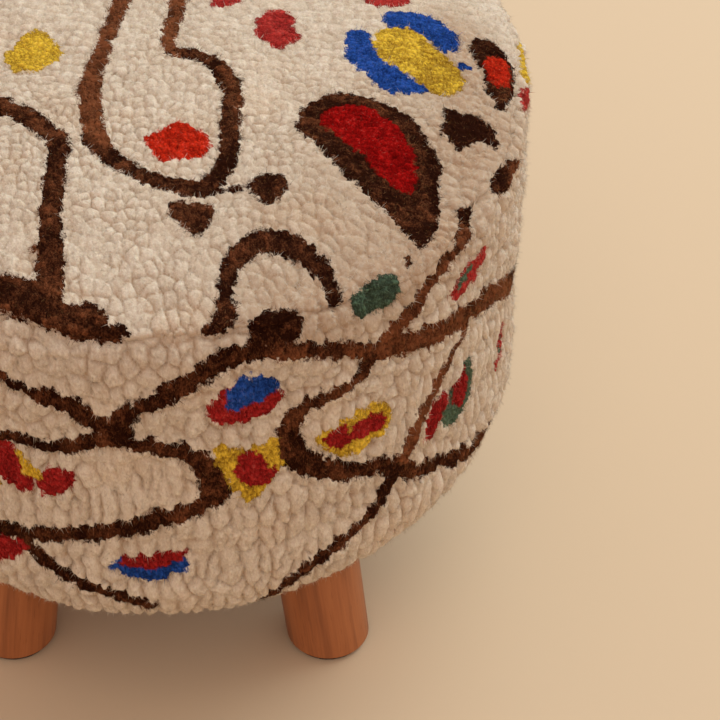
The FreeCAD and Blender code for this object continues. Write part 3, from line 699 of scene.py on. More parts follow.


# %% [markdown]
# ## Pile
# Up close the rug is a crowd of soft puffs, each a bundle of small tufts: round on the top,
# drawn out towards the rim, and hanging in ropes on the side, with thin creases between them.
# Each puff is the cell round a seed point. Its creases are where two seeds are equally near, and
# noise lets them fade out here and there. Creases also get painted shade. Brown and dyed wool has
# small tufts only, with painted shade in the gaps between them. Just under the seam the ropes are
# shorter, more like lumps, with a band of painted shadow right under the seam, and in a few places
# near the top's rim painted shade darkens the wool.

# %% The height of the pile and its values
top_puff, side_columns, side_puff_height = 6.7, 138, 20.0
lumps_above, lump_crowding = 300.0, 0.6
stretch_from, stretch = 150.0, 0.38
tuft_top, tuft_side = (3.0, 3.0), (2.8, 4.6)
scallop = 3.0
groove_depth, groove_width = 3.0, 3.2
swells = [(38, 7, 1.1), (15, 8, 0.7), (1.9, 10, 0.12)]
# Painted shade near the top's rim: the first number caps how dark it gets, and each place is a
# direction, a way along, a strength and a width each way.
darkest_shade = 1.8
shaded_places = [(-38, 165, 0.8, 34, 50), (-60, 208, 1.1, 14, 22), (-42, 208, 1.2, 13, 18),
               (2, 172, 1.9, 12, 18), (-18, 190, 1.3, 12, 24), (-68, 197, 0.6, 7, 12)]
seam_dips = [(-112, -7.0, 12), (-45, 9.0, 9), (-2, -2.5, 14), (40, 3.0, 20), (95, -3.0, 18),
             (160, 4.0, 22)]
seam_sway, seam_sway_length = 1.8, 11.0
seam_steps = [(-180, 1.6), (-125, 1.6), (-100, 1.5), (-70, 1.0), (-58, 0.35), (-40, 0.2),
              (-30, 0.7), (-18, 1.5), (180, 1.6)]
body_dents = [(-43, 172, -3.6, 14, 42), (-62, 150, -1.2, 14, 30), (2, 250, -4.3, 42, 60),
              (12, 350, 4.2, 28, 24), (-5, 342, -5.0, 12, 26),
              (-86, 128, 1.5, 16, 25), (60, 200, 2.0, 25, 60), (150, 260, -2.0, 30, 70)]
top_dents = [(-57, 190, -3.2, 12, 18), (-34, 186, -4.2, 13, 22), (-96, 196, 1.0, 14, 14),
             (35, 190, -1.6, 16, 16),
             (110, 186, -2.0, 14, 18), (172, 192, -1.8, 12, 14)]


def turned_from(angle, degrees):
    """Degrees from a direction round the drum, the short way."""
    return (np.degrees(angle) - degrees + 180) % 360 - 180


def bells_at(places, angle, along):
    """The sum of soft humps and dents. Each has a direction in degrees, a place along, a size, and
    a width each way."""
    return sum(size * bell(turned_from(angle, at), width) * bell(along - middle, tall)
               for at, middle, size, width, tall in places)


def seam_step(angle):
    """How many millimetres the top panel stands over the side at the seam."""
    return np.interp(turned_from(angle, 0), *np.array(seam_steps).T)


def seam_at(angle):
    """The way along the outline to the seam. It wanders by a few millimetres, as on a cover
    that is sewn by hand and pulled over foam."""
    ring = np.stack([np.cos(angle), np.sin(angle), 0 * angle], axis=-1) * cover_radius
    dips = sum(rise * bell(turned_from(angle, at), width) for at, rise, width in seam_dips)
    return seam_way + dips + seam_sway * smooth_noise(ring, seam_sway_length, 12)


def on_drum(angle, way, lift):
    """Points on the drum: the outline's point, moved by lift along its outward direction, and
    turned round the axis. A few broad dents make the drum slightly out of round."""
    radius, height, turn = on_outline(way)
    dent = bells_at(body_dents, angle, height)
    radius = radius + lift * np.cos(turn) + dent * np.clip(radius / cover_radius, 0, 1) ** 4
    height = height + lift * np.sin(turn) + pillow_rise(way)
    height = height + bells_at(top_dents, angle, way)
    return round_axis(radius, angle, height)


def eased(value, low, high):
    """0 up to low and 1 from high, along 3t^2 - 2t^3 between them."""
    part = np.clip((value - low) / (high - low), 0, 1)
    return part * part * (3 - 2 * part)


def knot_grids(panel, angle, way, spots):
    """Coordinates that count puffs and tufts, how many of each go round, and their sizes. Noise
    sways them. Towards the rim the top's way is counted slower, which draws its puffs out, and
    above the middle of the side it is counted faster, which makes lumps of its ropes."""
    sway = noise_pair(spots, 17, 3)
    wobble = noise_pair(spots, 5.5, 5)
    if panel == "top":
        past = np.maximum(way - stretch_from, 0)
        counted = way - stretch * past ** 2 / (past + 18)
        puff_size, tuft_size = np.array((top_puff, top_puff)), np.array(tuft_top)
        puffs, tufts = laid_flat("top", angle, counted), laid_flat("top", angle, way)
        around, swaying = (0, 0), (0.3, 0.3)
    else:
        counted = way + lump_crowding * np.minimum(way, lumps_above)
        puffs, tufts = laid_flat("side", angle, counted), laid_flat("side", angle, way)
        around, swaying = (side_columns, round(side_length / tuft_side[0])), (0.22, 0.4)
        puff_size = np.array((side_length / side_columns, side_puff_height))
        tuft_size = np.array((side_length / around[1], tuft_side[1]))
    puffs = puffs / puff_size + sway * swaying + wobble * 0.14
    return puffs, tufts / tuft_size + wobble * 0.35, around, tuft_size


def grown_pile(panel, angle, way):
    """The lift of the pile at each place and the values that its material reads."""
    flat = laid_flat(panel, angle, way)
    spots = on_drum(angle, way, 0.0)
    puff_grid, tuft_grid, around, tuft_size = knot_grids(panel, angle, way, spots)
    near, second, offset, cell = knots(puff_grid, 0.8 if panel == "top" else 0.7, 11, around[0])
    tuft_near, tuft_second, tuft_offset, tuft_cell = knots(tuft_grid, 0.9, 21, around[1])
    fading = eased(smooth_noise(spots, 11, 9), -0.6, 0.3)
    dome = 1 - np.clip(near / 0.85, 0, 1) ** 2
    lumps = (panel == "side") * (1 - eased(way, lumps_above - 30, lumps_above + 30))
    if panel == "top":
        facing = eased(-spots[:, 1], -70, 70)
        crease = bell(second - near, 0.2) * (0.2 + 0.8 * fading) * (0.3 + 0.55 * facing)
        line = bell(second - near, 0.12) * (0.4 + 0.6 * fading) * (0.4 + 0.6 * facing)
    else:
        beside = np.maximum(eased(np.abs(offset[:, 0]) - 0.6 * np.abs(offset[:, 1]), -0.2, 0.15),
                            lumps * 0.8)
        crease = bell(second - near, 0.27) * (0.35 + 0.65 * fading) * (0.25 + 0.75 * beside)
        line = bell(second - near, 0.15) * (0.35 + 0.65 * fading) * (0.3 + 0.7 * beside)
    tuft_crease = bell(tuft_second - tuft_near, 0.3)
    level, tuft_level = cell_chance(31, *cell.T), cell_chance(41, *tuft_cell.T)
    depth, bulge = (1.5, 1.4) if panel == "top" else (2.9 - 0.7 * lumps, 2.6 - 0.5 * lumps)
    # Painted shade at the places near the top's rim.
    painted_shade = np.minimum(bells_at(shaded_places, angle, way), darkest_shade)
    knot_middle = flat - tuft_offset * tuft_size * 0.7
    knot_middle = knot_middle + noise_pair(spots, 3.4, 13) * 0.9
    if panel == "side":
        knot_middle[:, 1] -= scallop * (dome - 0.5)
    brown, dyed, light, colour, groove = measured_pattern(panel, knot_middle)
    brown, dyed = brown + (tuft_level - 0.5) * 1.8, dyed + (tuft_level - 0.5) * 1.8
    coloured = eased(-np.minimum(brown, dyed), -1.2, 0.8)
    cream_lift = bulge * dome + (level - 0.5) * 0.9 - depth * crease - 0.9
    cream_lift += ((tuft_level - 0.5) * 0.24 - 0.2 * tuft_crease) * (1.5 + 1.2 * lumps)
    coloured_lift = (tuft_level - 0.5) * 1.0 - 0.85 * tuft_crease + 0.5 * (dome - crease)
    lift = cream_lift * (1 - coloured) + coloured_lift * coloured
    lift -= groove_depth * bell(groove, groove_width)
    lift += sum(smooth_noise(spots, size, seed) * rise for size, seed, rise in swells)
    # Painted shadow: a dark band on the side just under the seam, where the top's edge overhangs
    # it.
    shade = 0.35 * seam_step(angle) * bell(way - seam_at(angle) - 1.5, 4.0)
    # Painted shade: how far the material darkens the wool here, in creases and their thin lines, in
    # the band under the seam and in the gaps between tufts.
    dark = np.maximum(np.maximum(line, shade),
                      np.maximum(crease * 0.6, tuft_crease * (0.3 + 0.12 * lumps)))
    # The knot's tone and its crease value carry the painted shade near the rim.
    values = {"brown_edge": brown, "dyed_edge": dyed, "brown_light": light, "dyed_colour": colour,
              "knot_tone": level * 0.5 + tuft_level * 0.5 - painted_shade * (1.1 - 0.85 * coloured),
              "crease": dark * (1 - 0.45 * painted_shade) + 0.45 * painted_shade, "tuft_gap": tuft_crease}
    return lift, values


def drawn_in(panel, angle, way, lift):
    """The pile's lift at the seam: the top swells a little before it and then drops past it, over
    the side's edge, which lies back a little. The two cross there without a gap."""
    step = seam_step(angle)
    past = way - seam_at(angle)
    if panel == "top":
        return lift + step * bell(past + 5, 7) * 0.8 - (2.5 + 2 * step) * eased(past, -1.2, 2.4)
    return lift * eased(past, -4, 3) - 1.7 * step * (1 - eased(past, 0, 24)) - 0.5 * bell(past, 3)


# %% [markdown]
# ## The top panel
# A disc has no natural grid, and rings crowd at the middle. So a square grid is pressed into a
# disc, ring by square ring, which keeps the knots' faces alike all over. Its rim rolls down into
# the seam and a plain back closes the pad.

# %% Grow the top panel
top_grid = 384
seam_overlap = 2.4
lip_steps = ((1.5, 0.6), (4.0, 1.8), (7.0, 3.4))
back_shares = (0.96, 0.85, 0.6, 0.3)


def square_to_disc(across, up):
    """Presses a square into a disc: the larger of the two coordinates is the radius, and their
    ratio, times an eighth turn, is the angle."""
    wide = np.abs(across) > np.abs(up)
    large, small = np.where(wide, across, up), np.where(wide, up, across)
    ratio = np.divide(small, large, out=np.zeros_like(large), where=large != 0) * math.pi / 4
    turn = np.where(wide, ratio, math.pi / 2 - ratio)
    return large * np.cos(turn), large * np.sin(turn)


steps = np.linspace(-1, 1, top_grid)
disc_x, disc_y = square_to_disc(*[part.ravel() for part in np.meshgrid(steps, steps)])
disc_angle = np.arctan2(disc_y, disc_x)
disc_way = np.hypot(disc_x, disc_y) * (seam_at(disc_angle) + seam_overlap)
lift, top_values = grown_pile("top", disc_angle, disc_way)
lift = drawn_in("top", disc_angle, disc_way, lift)
top_points = on_drum(disc_angle, disc_way, lift)

number = np.arange(top_grid * top_grid).reshape(top_grid, top_grid)
rim = np.concatenate([number[0, :-1], number[:-1, -1], number[-1, :0:-1], number[:0:-1, 0]])
rim_angle, rim_way, rim_lift = disc_angle[rim], disc_way[rim], lift[rim]
lip_rings = [on_drum(rim_angle, rim_way - back, rim_lift - depth) for depth, back in lip_steps]
back_rings = [on_drum(rim_angle, rim_way * share, np.full(len(rim), -rug_depth))
              for share in back_shares]
rings = np.concatenate(lip_rings + back_rings)
middle = on_drum(np.zeros(1), np.zeros(1), np.full(1, -rug_depth))
ring_count = len(lip_steps) + len(back_shares)
ring_number = np.concatenate([rim, len(top_points) + np.arange(len(rings))])
upper_faces = grid_faces(top_grid, top_grid)[:, ::-1]
ring_faces = ring_number[grid_faces(ring_count + 1, len(rim), close_columns=True)]
last_ring = ring_number[-len(rim):]
centre_number = len(top_points) + len(rings)
fan = fan_faces(last_ring, centre_number)
rug_top = new_piece("rug_top", np.concatenate([top_points, rings, middle]), upper_faces, ring_faces,
                    fan)

hidden = {"brown_edge": far_off, "dyed_edge": far_off, "brown_light": 0.0, "knot_tone": 0.5,
          "crease": 1.0, "tuft_gap": 1.0}


def with_hidden(values, shown, total):
    """Values of all points of a piece: those worked out for the shown ones, and for the rest cream
    darkened by the full painted crease shade."""
    full = {name: np.full(total, plain) for name, plain in hidden.items()}
    full["dyed_colour"] = np.ones((total, 4))
    for name, array in values.items():
        full[name][shown] = array
    return full


keep_values(rug_top, **with_hidden(top_values, slice(0, len(top_points)), centre_number + 1))

# %% [markdown]
# ## The side band
# The band is a closed ring in section: down the outside, round under the board, and back up
# against the foam. Rows of points follow that section and columns go round the drum.

# %% Grow the side band
side_points_round = 1200
row_spacing = 1.12
hem_up = 129.0
hem_edge = [(hem_x - hem_lip_radius, 124.0), (hem_x - hem_lip_radius, hem_up), (165.0, hem_up),
            (175.0, hem_up)]
inner_ways = (441, 425, 410, 390, 350, 300, 255, 232)

around = full_turn(side_points_round)
row_count = int((lip_way - seam_way) / row_spacing)
row_share = np.linspace(0, 1, row_count)[:, None]
band_start = seam_at(around)[None, :] - seam_overlap
band_way = band_start + (lip_way - band_start) * row_share
band_angle = np.broadcast_to(around, band_way.shape)
flat_angle, flat_way = band_angle.ravel(), band_way.ravel()
side_lift, side_values = grown_pile("side", flat_angle, flat_way)
side_lift = drawn_in("side", flat_angle, flat_way, side_lift)
side_lift *= 1 - eased(flat_way, lip_way - 6, lip_way)
outer = on_drum(flat_angle, flat_way, side_lift)

seam_lift = side_lift[:side_points_round]
lips = [on_drum(around, band_way[0] + back, seam_lift - depth) for depth, back in lip_steps[::-1]]
under = [round_axis(radius, around, height) for radius, height in hem_edge]
inner = [on_drum(around, np.full(len(around), float(way)), np.full(len(around), -rug_depth))
         for way in inner_ways]
band = np.concatenate(lips + [outer] + under + inner)
rows = len(lips) + row_count + len(under) + len(inner)
rug_side = new_piece("rug_side", band,
                     grid_faces(rows, side_points_round, close_rows=True, close_columns=True))
first_outer = len(lips) * side_points_round
shown_side = slice(first_outer, first_outer + len(outer))
keep_values(rug_side, **with_hidden(side_values, shown_side, len(band)))

# %% [markdown]
# ## Loose fibres
# Hand-spun wool never lies smooth: fibre ends stand off the pile, most of all in the dyed and
# brown knots. Each is a thin spike of four faces, rooted just below the surface, that leans with
# its neighbours. It keeps the yarn of its knot, so it can reach over the next one.

# %% Fibres on the pile
fibre_spacing = 1.0
fibre_chance = {"cream": 0.32, "edge": 0.55, "coloured": 0.78}
fibre_width, fibre_length = (0.18, 0.46), (2.2, 5.4)
fibre_root_depth = 0.8
most_fibres = 48000
fibre_faces = np.array([(0, 2, 1), (0, 1, 3), (1, 2, 3), (2, 0, 3)])
palette_side = 64
fibre_tone_spread, fibre_tone_low = 1.6, 0.3
palette_yarns = list(yarns.values())


def chance_between(limits, seed, number):
    return limits[0] + (limits[1] - limits[0]) * cell_chance(seed, number)


def fibre_roots(panel):
    """One place in each cell of a fine grid over the panel, pushed off the cell's middle."""
    reach = int((seam_way + near_seam) / fibre_spacing)
    across, down = (np.arange(-reach, reach),) * 2
    if panel == "side":
        across = np.arange(int(side_length / fibre_spacing))
        down = np.arange(int(lip_way / fibre_spacing))
    cells = np.stack(np.meshgrid(across, down), axis=-1).reshape(-1, 2)
    flat = (cells + np.stack([cell_chance(seed, *cells.T) for seed in (91, 92)],
                             axis=1)) * fibre_spacing
    if panel == "side":
        angle, way = flat[:, 0] / cover_radius, flat[:, 1]
        shown = (way > seam_at(angle) + 1.5) & (way < lip_way - 12)
    else:
        angle, way = np.arctan2(flat[:, 1], flat[:, 0]), np.hypot(*flat.T)
        shown = way < seam_at(angle) - 0.5
    return angle[shown], way[shown]


def fibre_lean(panel, angle, way, spots):
    """Unit directions: outward, plus a lean down or out and one sideways that neighbours share,
    plus chance of its own."""
    number = np.arange(len(angle))
    turn = on_outline(way)[2]
    spoke = np.stack([np.cos(angle), np.sin(angle), np.zeros_like(angle)], axis=1)
    aside = np.stack([-np.sin(angle), np.cos(angle), np.zeros_like(angle)], axis=1)
    upright = np.array((0.0, 0.0, 1.0))
    outward = spoke * np.cos(turn)[:, None] + upright * np.sin(turn)[:, None]
    along = spoke * np.sin(turn)[:, None] - upright * np.cos(turn)[:, None]
    flow = 0.1 if panel == "top" else 0.55
    down = flow + smooth_noise(spots, 5, 95) * 0.6 + chance_between((-0.9, 0.9), 96, number)
    sideways = smooth_noise(spots, 5, 97) * 0.6 + chance_between((-0.9, 0.9), 98, number)
    lean = outward * 0.5 + along * down[:, None] + aside * sideways[:, None]
    return lean / np.sqrt((lean * lean).sum(-1, keepdims=True))


def grown_fibres(panel):
    """Points and values of a panel's fibres, four points each: three round the root and the tip."""
    angle, way = fibre_roots(panel)
    lift, values = grown_pile(panel, angle, way)
    edge = np.minimum(values["brown_edge"], values["dyed_edge"])
    chance = np.where(edge < 0, fibre_chance["coloured"],
                      np.where(edge < 2, fibre_chance["edge"], fibre_chance["cream"]))
    chance = chance * np.where(edge < 0, 1 - 0.55 * values["tuft_gap"], 1)
    kept = np.flatnonzero(cell_chance(93, np.arange(len(angle))) < chance)
    angle, way = angle[kept], way[kept]
    lift = drawn_in(panel, angle, way, lift[kept])
    root = on_drum(angle, way, lift - fibre_root_depth)
    lean = fibre_lean(panel, angle, way, root)
    first = np.cross(lean, np.roll(lean, 1, axis=1))
    first /= np.sqrt((first * first).sum(-1, keepdims=True))
    second = np.cross(lean, first)
    width = chance_between(fibre_width, 99, kept)[:, None] / 2
    corners = [root + (first * math.cos(turn) + second * math.sin(turn)) * width
               for turn in (0, full_circle / 3, full_circle * 2 / 3)]
    length = chance_between(fibre_length, 94, kept) * np.where(edge[kept] < -1.5, 0.75, 1)
    tip = root + lean * length[:, None]
    points = np.stack(corners + [tip], axis=1)
    sure = {name: np.where(values[name][kept] < 0, -far_off, far_off)
            for name in ("brown_edge", "dyed_edge")}
    sure["brown_light"] = values["brown_light"][kept]
    sure["dyed_colour"] = values["dyed_colour"][kept]
    # Painted shade: fibres rooted in the gaps between tufts get a darker tone, and keep part of the
    # crease's painted shade.
    sure["knot_tone"] = np.maximum(cell_chance(100, kept) * fibre_tone_spread - 0.8
                                   * values["tuft_gap"][kept], 0) - fibre_tone_low
    sure["crease"] = values["crease"][kept] * 0.4
    sure["tuft_gap"] = np.zeros(len(kept))
    return points, sure


def palette_places(sure):
    """A map in which fibres of one yarn and tone share a small triangle, row by yarn and column
    by tone, so that the thousands of fibres need only a small picture when they are exported."""
    yarn = np.where(sure["dyed_edge"] < 0, 2, np.where(sure["brown_edge"] < 0, 1, 0))
    for number, colour in enumerate(palette_yarns):
        dyed = (yarn >= 2) & (np.abs(sure["dyed_colour"][:, :3] - colour).sum(-1) < 1e-3)
        yarn = np.where(dyed, 2 + number, yarn)
    rows = palette_side // (2 * (len(palette_yarns) + 2))
    own_row = (cell_chance(101, np.arange(len(yarn))) * rows).astype(int)
    row = (2 * yarn + (sure["brown_light"] > 0.5)) * rows + own_row
    column = ((sure["knot_tone"] + fibre_tone_low) / fibre_tone_spread * palette_side).astype(int)
    corners = np.array([(0.1, 0.1), (0.9, 0.1), (0.5, 0.9), (0.5, 0.4)])
    return (np.stack([column, row], axis=1)[:, None]
            + corners[fibre_faces].reshape(-1, 2)) / palette_side


def fibre_pieces(panel):
    """A panel's fibres in pieces of a size that other programs can hold."""
    points, sure = grown_fibres(panel)
    pieces = []
    for start in range(0, len(points), most_fibres):
        part = slice(start, start + most_fibres)
        count = len(points[part])
        faces = fibre_faces[None] + 4 * np.arange(count)[:, None, None]
        name = "rug_fibres_%s_%d" % (panel, len(pieces) + 1)
        piece = new_piece(name, points[part].reshape(-1, 3), faces.reshape(-1, 3))
        keep_values(piece, **{key: np.repeat(array[part], 4, axis=0) for key,
                              array in sure.items()})
        own = {key: array[part] for key, array in sure.items()}
        layer = piece.data.uv_layers.new(name="OFBake")
        layer.uv.foreach_set("vector", palette_places(own).ravel().astype(np.float32))
        pieces.append(piece)
    return pieces


rug_fibres = fibre_pieces("top") + fibre_pieces("side")

# %% [markdown]
# ## Materials as sums
# A node tree reads badly, so shader maths is written as plain sums. A small class wraps a
# socket, and adding or multiplying two of them adds the Math node. Colours go through Mix
# nodes, because a Math node would turn them grey.

# %% A small language for materials
class Value:
    """A socket of a material. Sums, differences and products of values add Math nodes."""

    def __init__(self, finish, socket):
        self.finish, self.socket = finish, socket

    def joined(self, operation, first, second):
        return self.finish.node("ShaderNodeMath", {"operation": operation}, {0: first, 1: second})

    def __add__(self, other):
        return self.joined("ADD", self, other)

    def __sub__(self, other):
        return self.joined("SUBTRACT", self, other)

    def __rsub__(self, other):
        return self.joined("SUBTRACT", other, self)

    def __mul__(self, other):
        return self.joined("MULTIPLY", self, other)


class Finish:
    """A material that is being made. Numbers that are the same all over go straight onto the
    shader, and anything else is a node."""

    def __init__(self, name, even):
        self.material = bpy.data.materials.new(name)
        self.material.use_nodes = True
        self.tree = self.material.node_tree
        self.tree.nodes.clear()
        self.shader = self.tree.nodes.new("ShaderNodeBsdfPrincipled")
        output = self.tree.nodes.new("ShaderNodeOutputMaterial")
        self.tree.links.new(self.shader.outputs[0], output.inputs[0])
        for socket, value in even.items():
            self.shader.inputs[socket].default_value = value

    def fill(self, node, sockets):
        for name, value in sockets.items():
            if isinstance(value, Value):
                self.tree.links.new(value.socket, node.inputs[name])
            else:
                node.inputs[name].default_value = value

    def node(self, kind, settings, sockets, output=0):
        """Adds a node: its settings first, a ramp's stops among them, then what its sockets
        hold or are linked to. Gives one of its outputs."""
        node = self.tree.nodes.new(kind)
        for name, value in settings.items():
            if name == "stops":
                ramp = node.color_ramp
                for _ in value[2:]:
                    ramp.elements.new(0.5)
                for element, (place, colour) in zip(ramp.elements, value):
                    element.position = place
                    element.color = colour + (1,)
            else:
                setattr(node, name, value)
        self.fill(node, sockets)
        return Value(self, node.outputs[output])

    def where(self):
        """The place in the object's own space, in metres."""
        return self.node("ShaderNodeTexCoord", {}, {}, "Object")

    def kept(self, name, output="Fac"):
        """A value that is stored on the mesh."""
        return self.node("ShaderNodeAttribute", {"attribute_name": name}, {}, output)

    def noise(self, vector, scale, detail=2.0, roughness=0.5, distortion=0.0):
        return self.node("ShaderNodeTexNoise", {}, {
            "Vector": vector, "Scale": scale, "Detail": detail, "Roughness": roughness,
            "Distortion": distortion})

    def placed(self, vector, place=(0, 0, 0), turn=(0, 0, 0), scale=(1, 1, 1)):
        return self.node("ShaderNodeMapping", {}, {
            "Vector": vector, "Location": place, "Rotation": turn, "Scale": scale})

    def step(self, value, low, high):
        """0 up to low and 1 from high, smoothly between."""
        return self.node("ShaderNodeMapRange", {"interpolation_type": "SMOOTHSTEP"}, {
            "Value": value, "From Min": low, "From Max": high})

    def blend(self, share, first, second, way="MIX"):
        """The first colour where the share is 0 and the second where it is 1."""
        made = self.node("ShaderNodeMix", {"data_type": "RGBA", "blend_type": way}, {}, 2)
        self.fill(made.socket.node, {0: share, 6: as_colour(first), 7: as_colour(second)})
        return made

    def tinted(self, share, colour, tint):
        """The colour multiplied by a tint, in the given share."""
        return self.blend(share, colour, tint, "MULTIPLY")

    def ramp(self, value, *stops):
        """Colours laid out along a value. Each stop is a place and a colour."""
        return self.node("ShaderNodeValToRGB", {"stops": stops}, {0: value})

    def bumped(self, height, strength, distance):
        return self.node("ShaderNodeBump", {},
                         {"Height": height, "Strength": strength, "Distance": distance})

    def finished(self, **sockets):
        """Fills the shader's changing sockets and gives the material."""
        names = {"colour": "Base Color", "roughness": "Roughness", "metallic": "Metallic",
                 "normal": "Normal", "coat": "Coat Weight", "alpha": "Alpha"}
        self.fill(self.shader, {names[name]: value for name, value in sockets.items()})
        return self.material


def as_colour(value):
    return value + (1,) if isinstance(value, tuple) and len(value) == 3 else value


def dress(piece, material):
    """Gives all of a piece one material."""
    if piece.material_slots:
        for slot in piece.material_slots:
            slot.material = material
    else:
        piece.data.materials.append(material)


# %% [markdown]
# ## Wool
# The pile isn't glossy: fibre tips scatter the light, so the shader is rough and has next to no
# gloss. Three things give it away as hand-spun wool: every knot differs a little in tone, creases
# get a warmer, darker painted shade, and the edge of each colour is broken up by single fibres.

# %% The wool's material
cream_light, cream_dark = (0.875, 0.78, 0.635), (0.61, 0.495, 0.37)
# The warm colour of the painted shade in creases.
crease_shade_colour = (0.45, 0.285, 0.175)
brown_deep, brown_red = (0.024, 0.006, 0.0024), (0.265, 0.087, 0.034)


def wool_material():
    wool = Finish("wool_rug", {"Roughness": 0.95, "Specular IOR Level": 0.03,
                               "Subsurface Weight": 0.2,
                               "Subsurface Radius": (1.0, 0.65, 0.4), "Subsurface Scale": 0.0025})
    where = wool.where()
    hanging = wool.placed(where, scale=(1, 1, 0.45))
    fibres = wool.noise(hanging, 1100, 3.0, 0.6, 0.6)
    clumps = wool.noise(hanging, 420, 2.0, 0.5, 0.4)
    broad = wool.noise(where, 26, 2.0)
    fray = (fibres - 0.5) * 4.4 + (clumps - 0.5) * 2.4
    own = wool.kept("knot_tone")
    tone = own * 0.42 + (fibres - 0.5) * 1.3 + clumps * 0.55
    cream = wool.blend(wool.step(tone, 0.0, 0.95), cream_dark, cream_light)
    # Painted shade: cream turns to the crease shade colour where the mesh's crease value is high.
    cream = wool.blend(wool.kept("crease") * wool.step(clumps, 0.2, 0.6) * 0.9, cream, crease_shade_colour)
    cream = wool.tinted(wool.step(broad, 0.5, 0.72) * 0.5, cream, (1.0, 0.94, 0.88))
    brown_mix = fibres * 0.8 + own * 0.4 + (broad - 0.5) * 0.4 + wool.kept("brown_light") * 0.22
    brown = wool.blend(wool.step(brown_mix, 0.45, 1.0), brown_deep, brown_red)
    # Painted shade: brown and dyed wool turn darker in the gaps between tufts.
    gap = wool.kept("tuft_gap")
    brown = wool.tinted(gap * 0.5, brown, (0.35, 0.3, 0.3))
    dyed = wool.tinted(wool.step(fibres + own * 0.35, 0.80, 0.42),
                       wool.kept("dyed_colour", "Color"), (0.42, 0.36, 0.38))
    dyed = wool.tinted(gap * 0.7, dyed, (0.45, 0.36, 0.36))
    dyed = wool.blend(wool.step(fibres + own * 0.3, 0.72, 1.0) * 0.12, dyed, (0.8, 0.62, 0.5))
    is_brown = wool.step(wool.kept("brown_edge") + fray, 0.8, -0.8)
    is_dyed = wool.step(wool.kept("dyed_edge") + fray * 0.8, 0.7, -0.7)
    colour = wool.blend(is_dyed, wool.blend(is_brown, cream, brown), dyed)
    fuzz = wool.bumped(fibres * 0.8 + clumps * 0.5, 0.7, 0.0009)
    return wool.finished(colour=colour, normal=fuzz)


wool_rug = wool_material()
for piece in [rug_top, rug_side] + rug_fibres:
    dress(piece, wool_rug)
    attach(piece, "root")
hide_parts("cover_top_panel", "seat_foam")
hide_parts("cover_side_band", "side_foam")
print("wool material on the two panels of the rug and", len(rug_fibres), "pieces of loose fibres")

# %% [markdown]
# ## Legs
# The four legs are the CAD's own turned solids. Only their wood is missing. The grain of a turned
# leg runs along it: layers of the tree cut lengthwise, so the pattern is stretched along the leg
# and turned with it. Each leg is cut from another stick, so each gets its own piece of the grain.

# %% Where the legs stand
leg_count, leg_turn, leg_splay = 4, 45.0, 9.0
foot_circle = cover_radius - 75.0
pad_thickness = 3.0
board_low = underside_height + rug_depth + 0.3
dust_thickness, plate_thickness, boss_rise = 0.8, 2.5, 5.5
plate_low = board_low - dust_thickness - plate_thickness
leg_top_z = plate_low - boss_rise
splay_slope = math.tan(math.radians(leg_splay))
leg_top_x = foot_circle - leg_top_z * splay_slope
leg_numbers = range(1, leg_count + 1)


def leg_direction(number):
    """The direction of a leg round the drum, in radians."""
    return math.radians(leg_turn + 360 / leg_count * (number - 1))


def leg_space(number):
    """Turns the drum's space into the leg's own: origin in the middle of its top, Z along it."""
    spoke = Matrix.Rotation(leg_direction(number), 4, "Z")
    lean = Matrix.Rotation(-math.radians(leg_splay), 4, "Y")
    return (spoke @ Matrix.Translation(Vector((leg_top_x, 0, leg_top_z)) * mm) @ lean).inverted()


wood_light, wood_mid, wood_dark = (0.53, 0.187, 0.060), (0.41, 0.130, 0.038), (0.21, 0.058, 0.017)


def leg_wood(number):
    """Reddish brown hardwood: broad soft bands, fine dark streaks and short pores."""
    wood = Finish("leg_wood_%d" % number, {"Specular IOR Level": 0.4, "Coat Roughness": 0.35})
    space = leg_space(number)
    place, turn = space.to_translation(), space.to_euler()
    own = wood.placed(wood.where(), place, turn)
    own = wood.placed(own, (0.31 * number, 0.17 * number, 0.05 * number), (0, 0, 0.8 * number))
    bands = wood.noise(wood.placed(own, scale=(1, 1, 0.07)), 62, 3.0, 0.55, 0.4)
    streaks = wood.noise(wood.placed(own, scale=(1, 1, 0.035)), 420, 3.0, 0.6)
    pores = wood.noise(wood.placed(own, scale=(1, 1, 0.05)), 1500, 1.0)
    colour = wood.ramp(bands * 0.62 + streaks * 0.38,
                       (0.30, wood_dark), (0.50, wood_mid), (0.72, wood_light))
    pore = wood.step(pores, 0.66, 0.76)
    colour = wood.tinted(pore * 0.55, colour, (0.45, 0.36, 0.30))
    grain = wood.bumped(1 - pore * 0.6 - streaks * 0.3, 0.25, 0.0004)
    return wood.finished(colour=colour, roughness=streaks * 0.2 + 0.36, coat=0.12 - pore * 0.1,
                         normal=grain)


for number in leg_numbers:
    dress(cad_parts["leg_%d" % number], leg_wood(number))
print("wood on", leg_count, "legs")

# %% [markdown]
# ## Boards, posts and wall
# The frame hardly shows, but a closer look from below or a cut-away view needs it. Birch plywood
# has pale faces and layered edges, the posts are planed pine, and the wall is brown hardboard.

# %% Wood of the frame
def plywood_material():
    ply = Finish("plywood", {"Specular IOR Level": 0.3})
    where = ply.where()
    grain = ply.noise(ply.placed(where, scale=(0.06, 1, 1)), 260, 3.0, 0.6, 0.5)
    layers = ply.node("ShaderNodeTexWave", {"wave_type": "BANDS", "bands_direction": "Z"}, {
        "Vector": where, "Scale": 210, "Distortion": 0.6, "Detail": 1.0}, 1)
    colour = ply.ramp(grain, (0.25, (0.50, 0.33, 0.18)), (0.55, (0.66, 0.48, 0.29)),
                      (0.85, (0.74, 0.57, 0.37)))
    colour = ply.tinted(ply.step(layers, 0.35, 0.65) * 0.35, colour, (0.55, 0.42, 0.32))
    return ply.finished(colour=colour, roughness=grain * 0.2 + 0.55,
                        normal=ply.bumped(grain, 0.2, 0.0004))


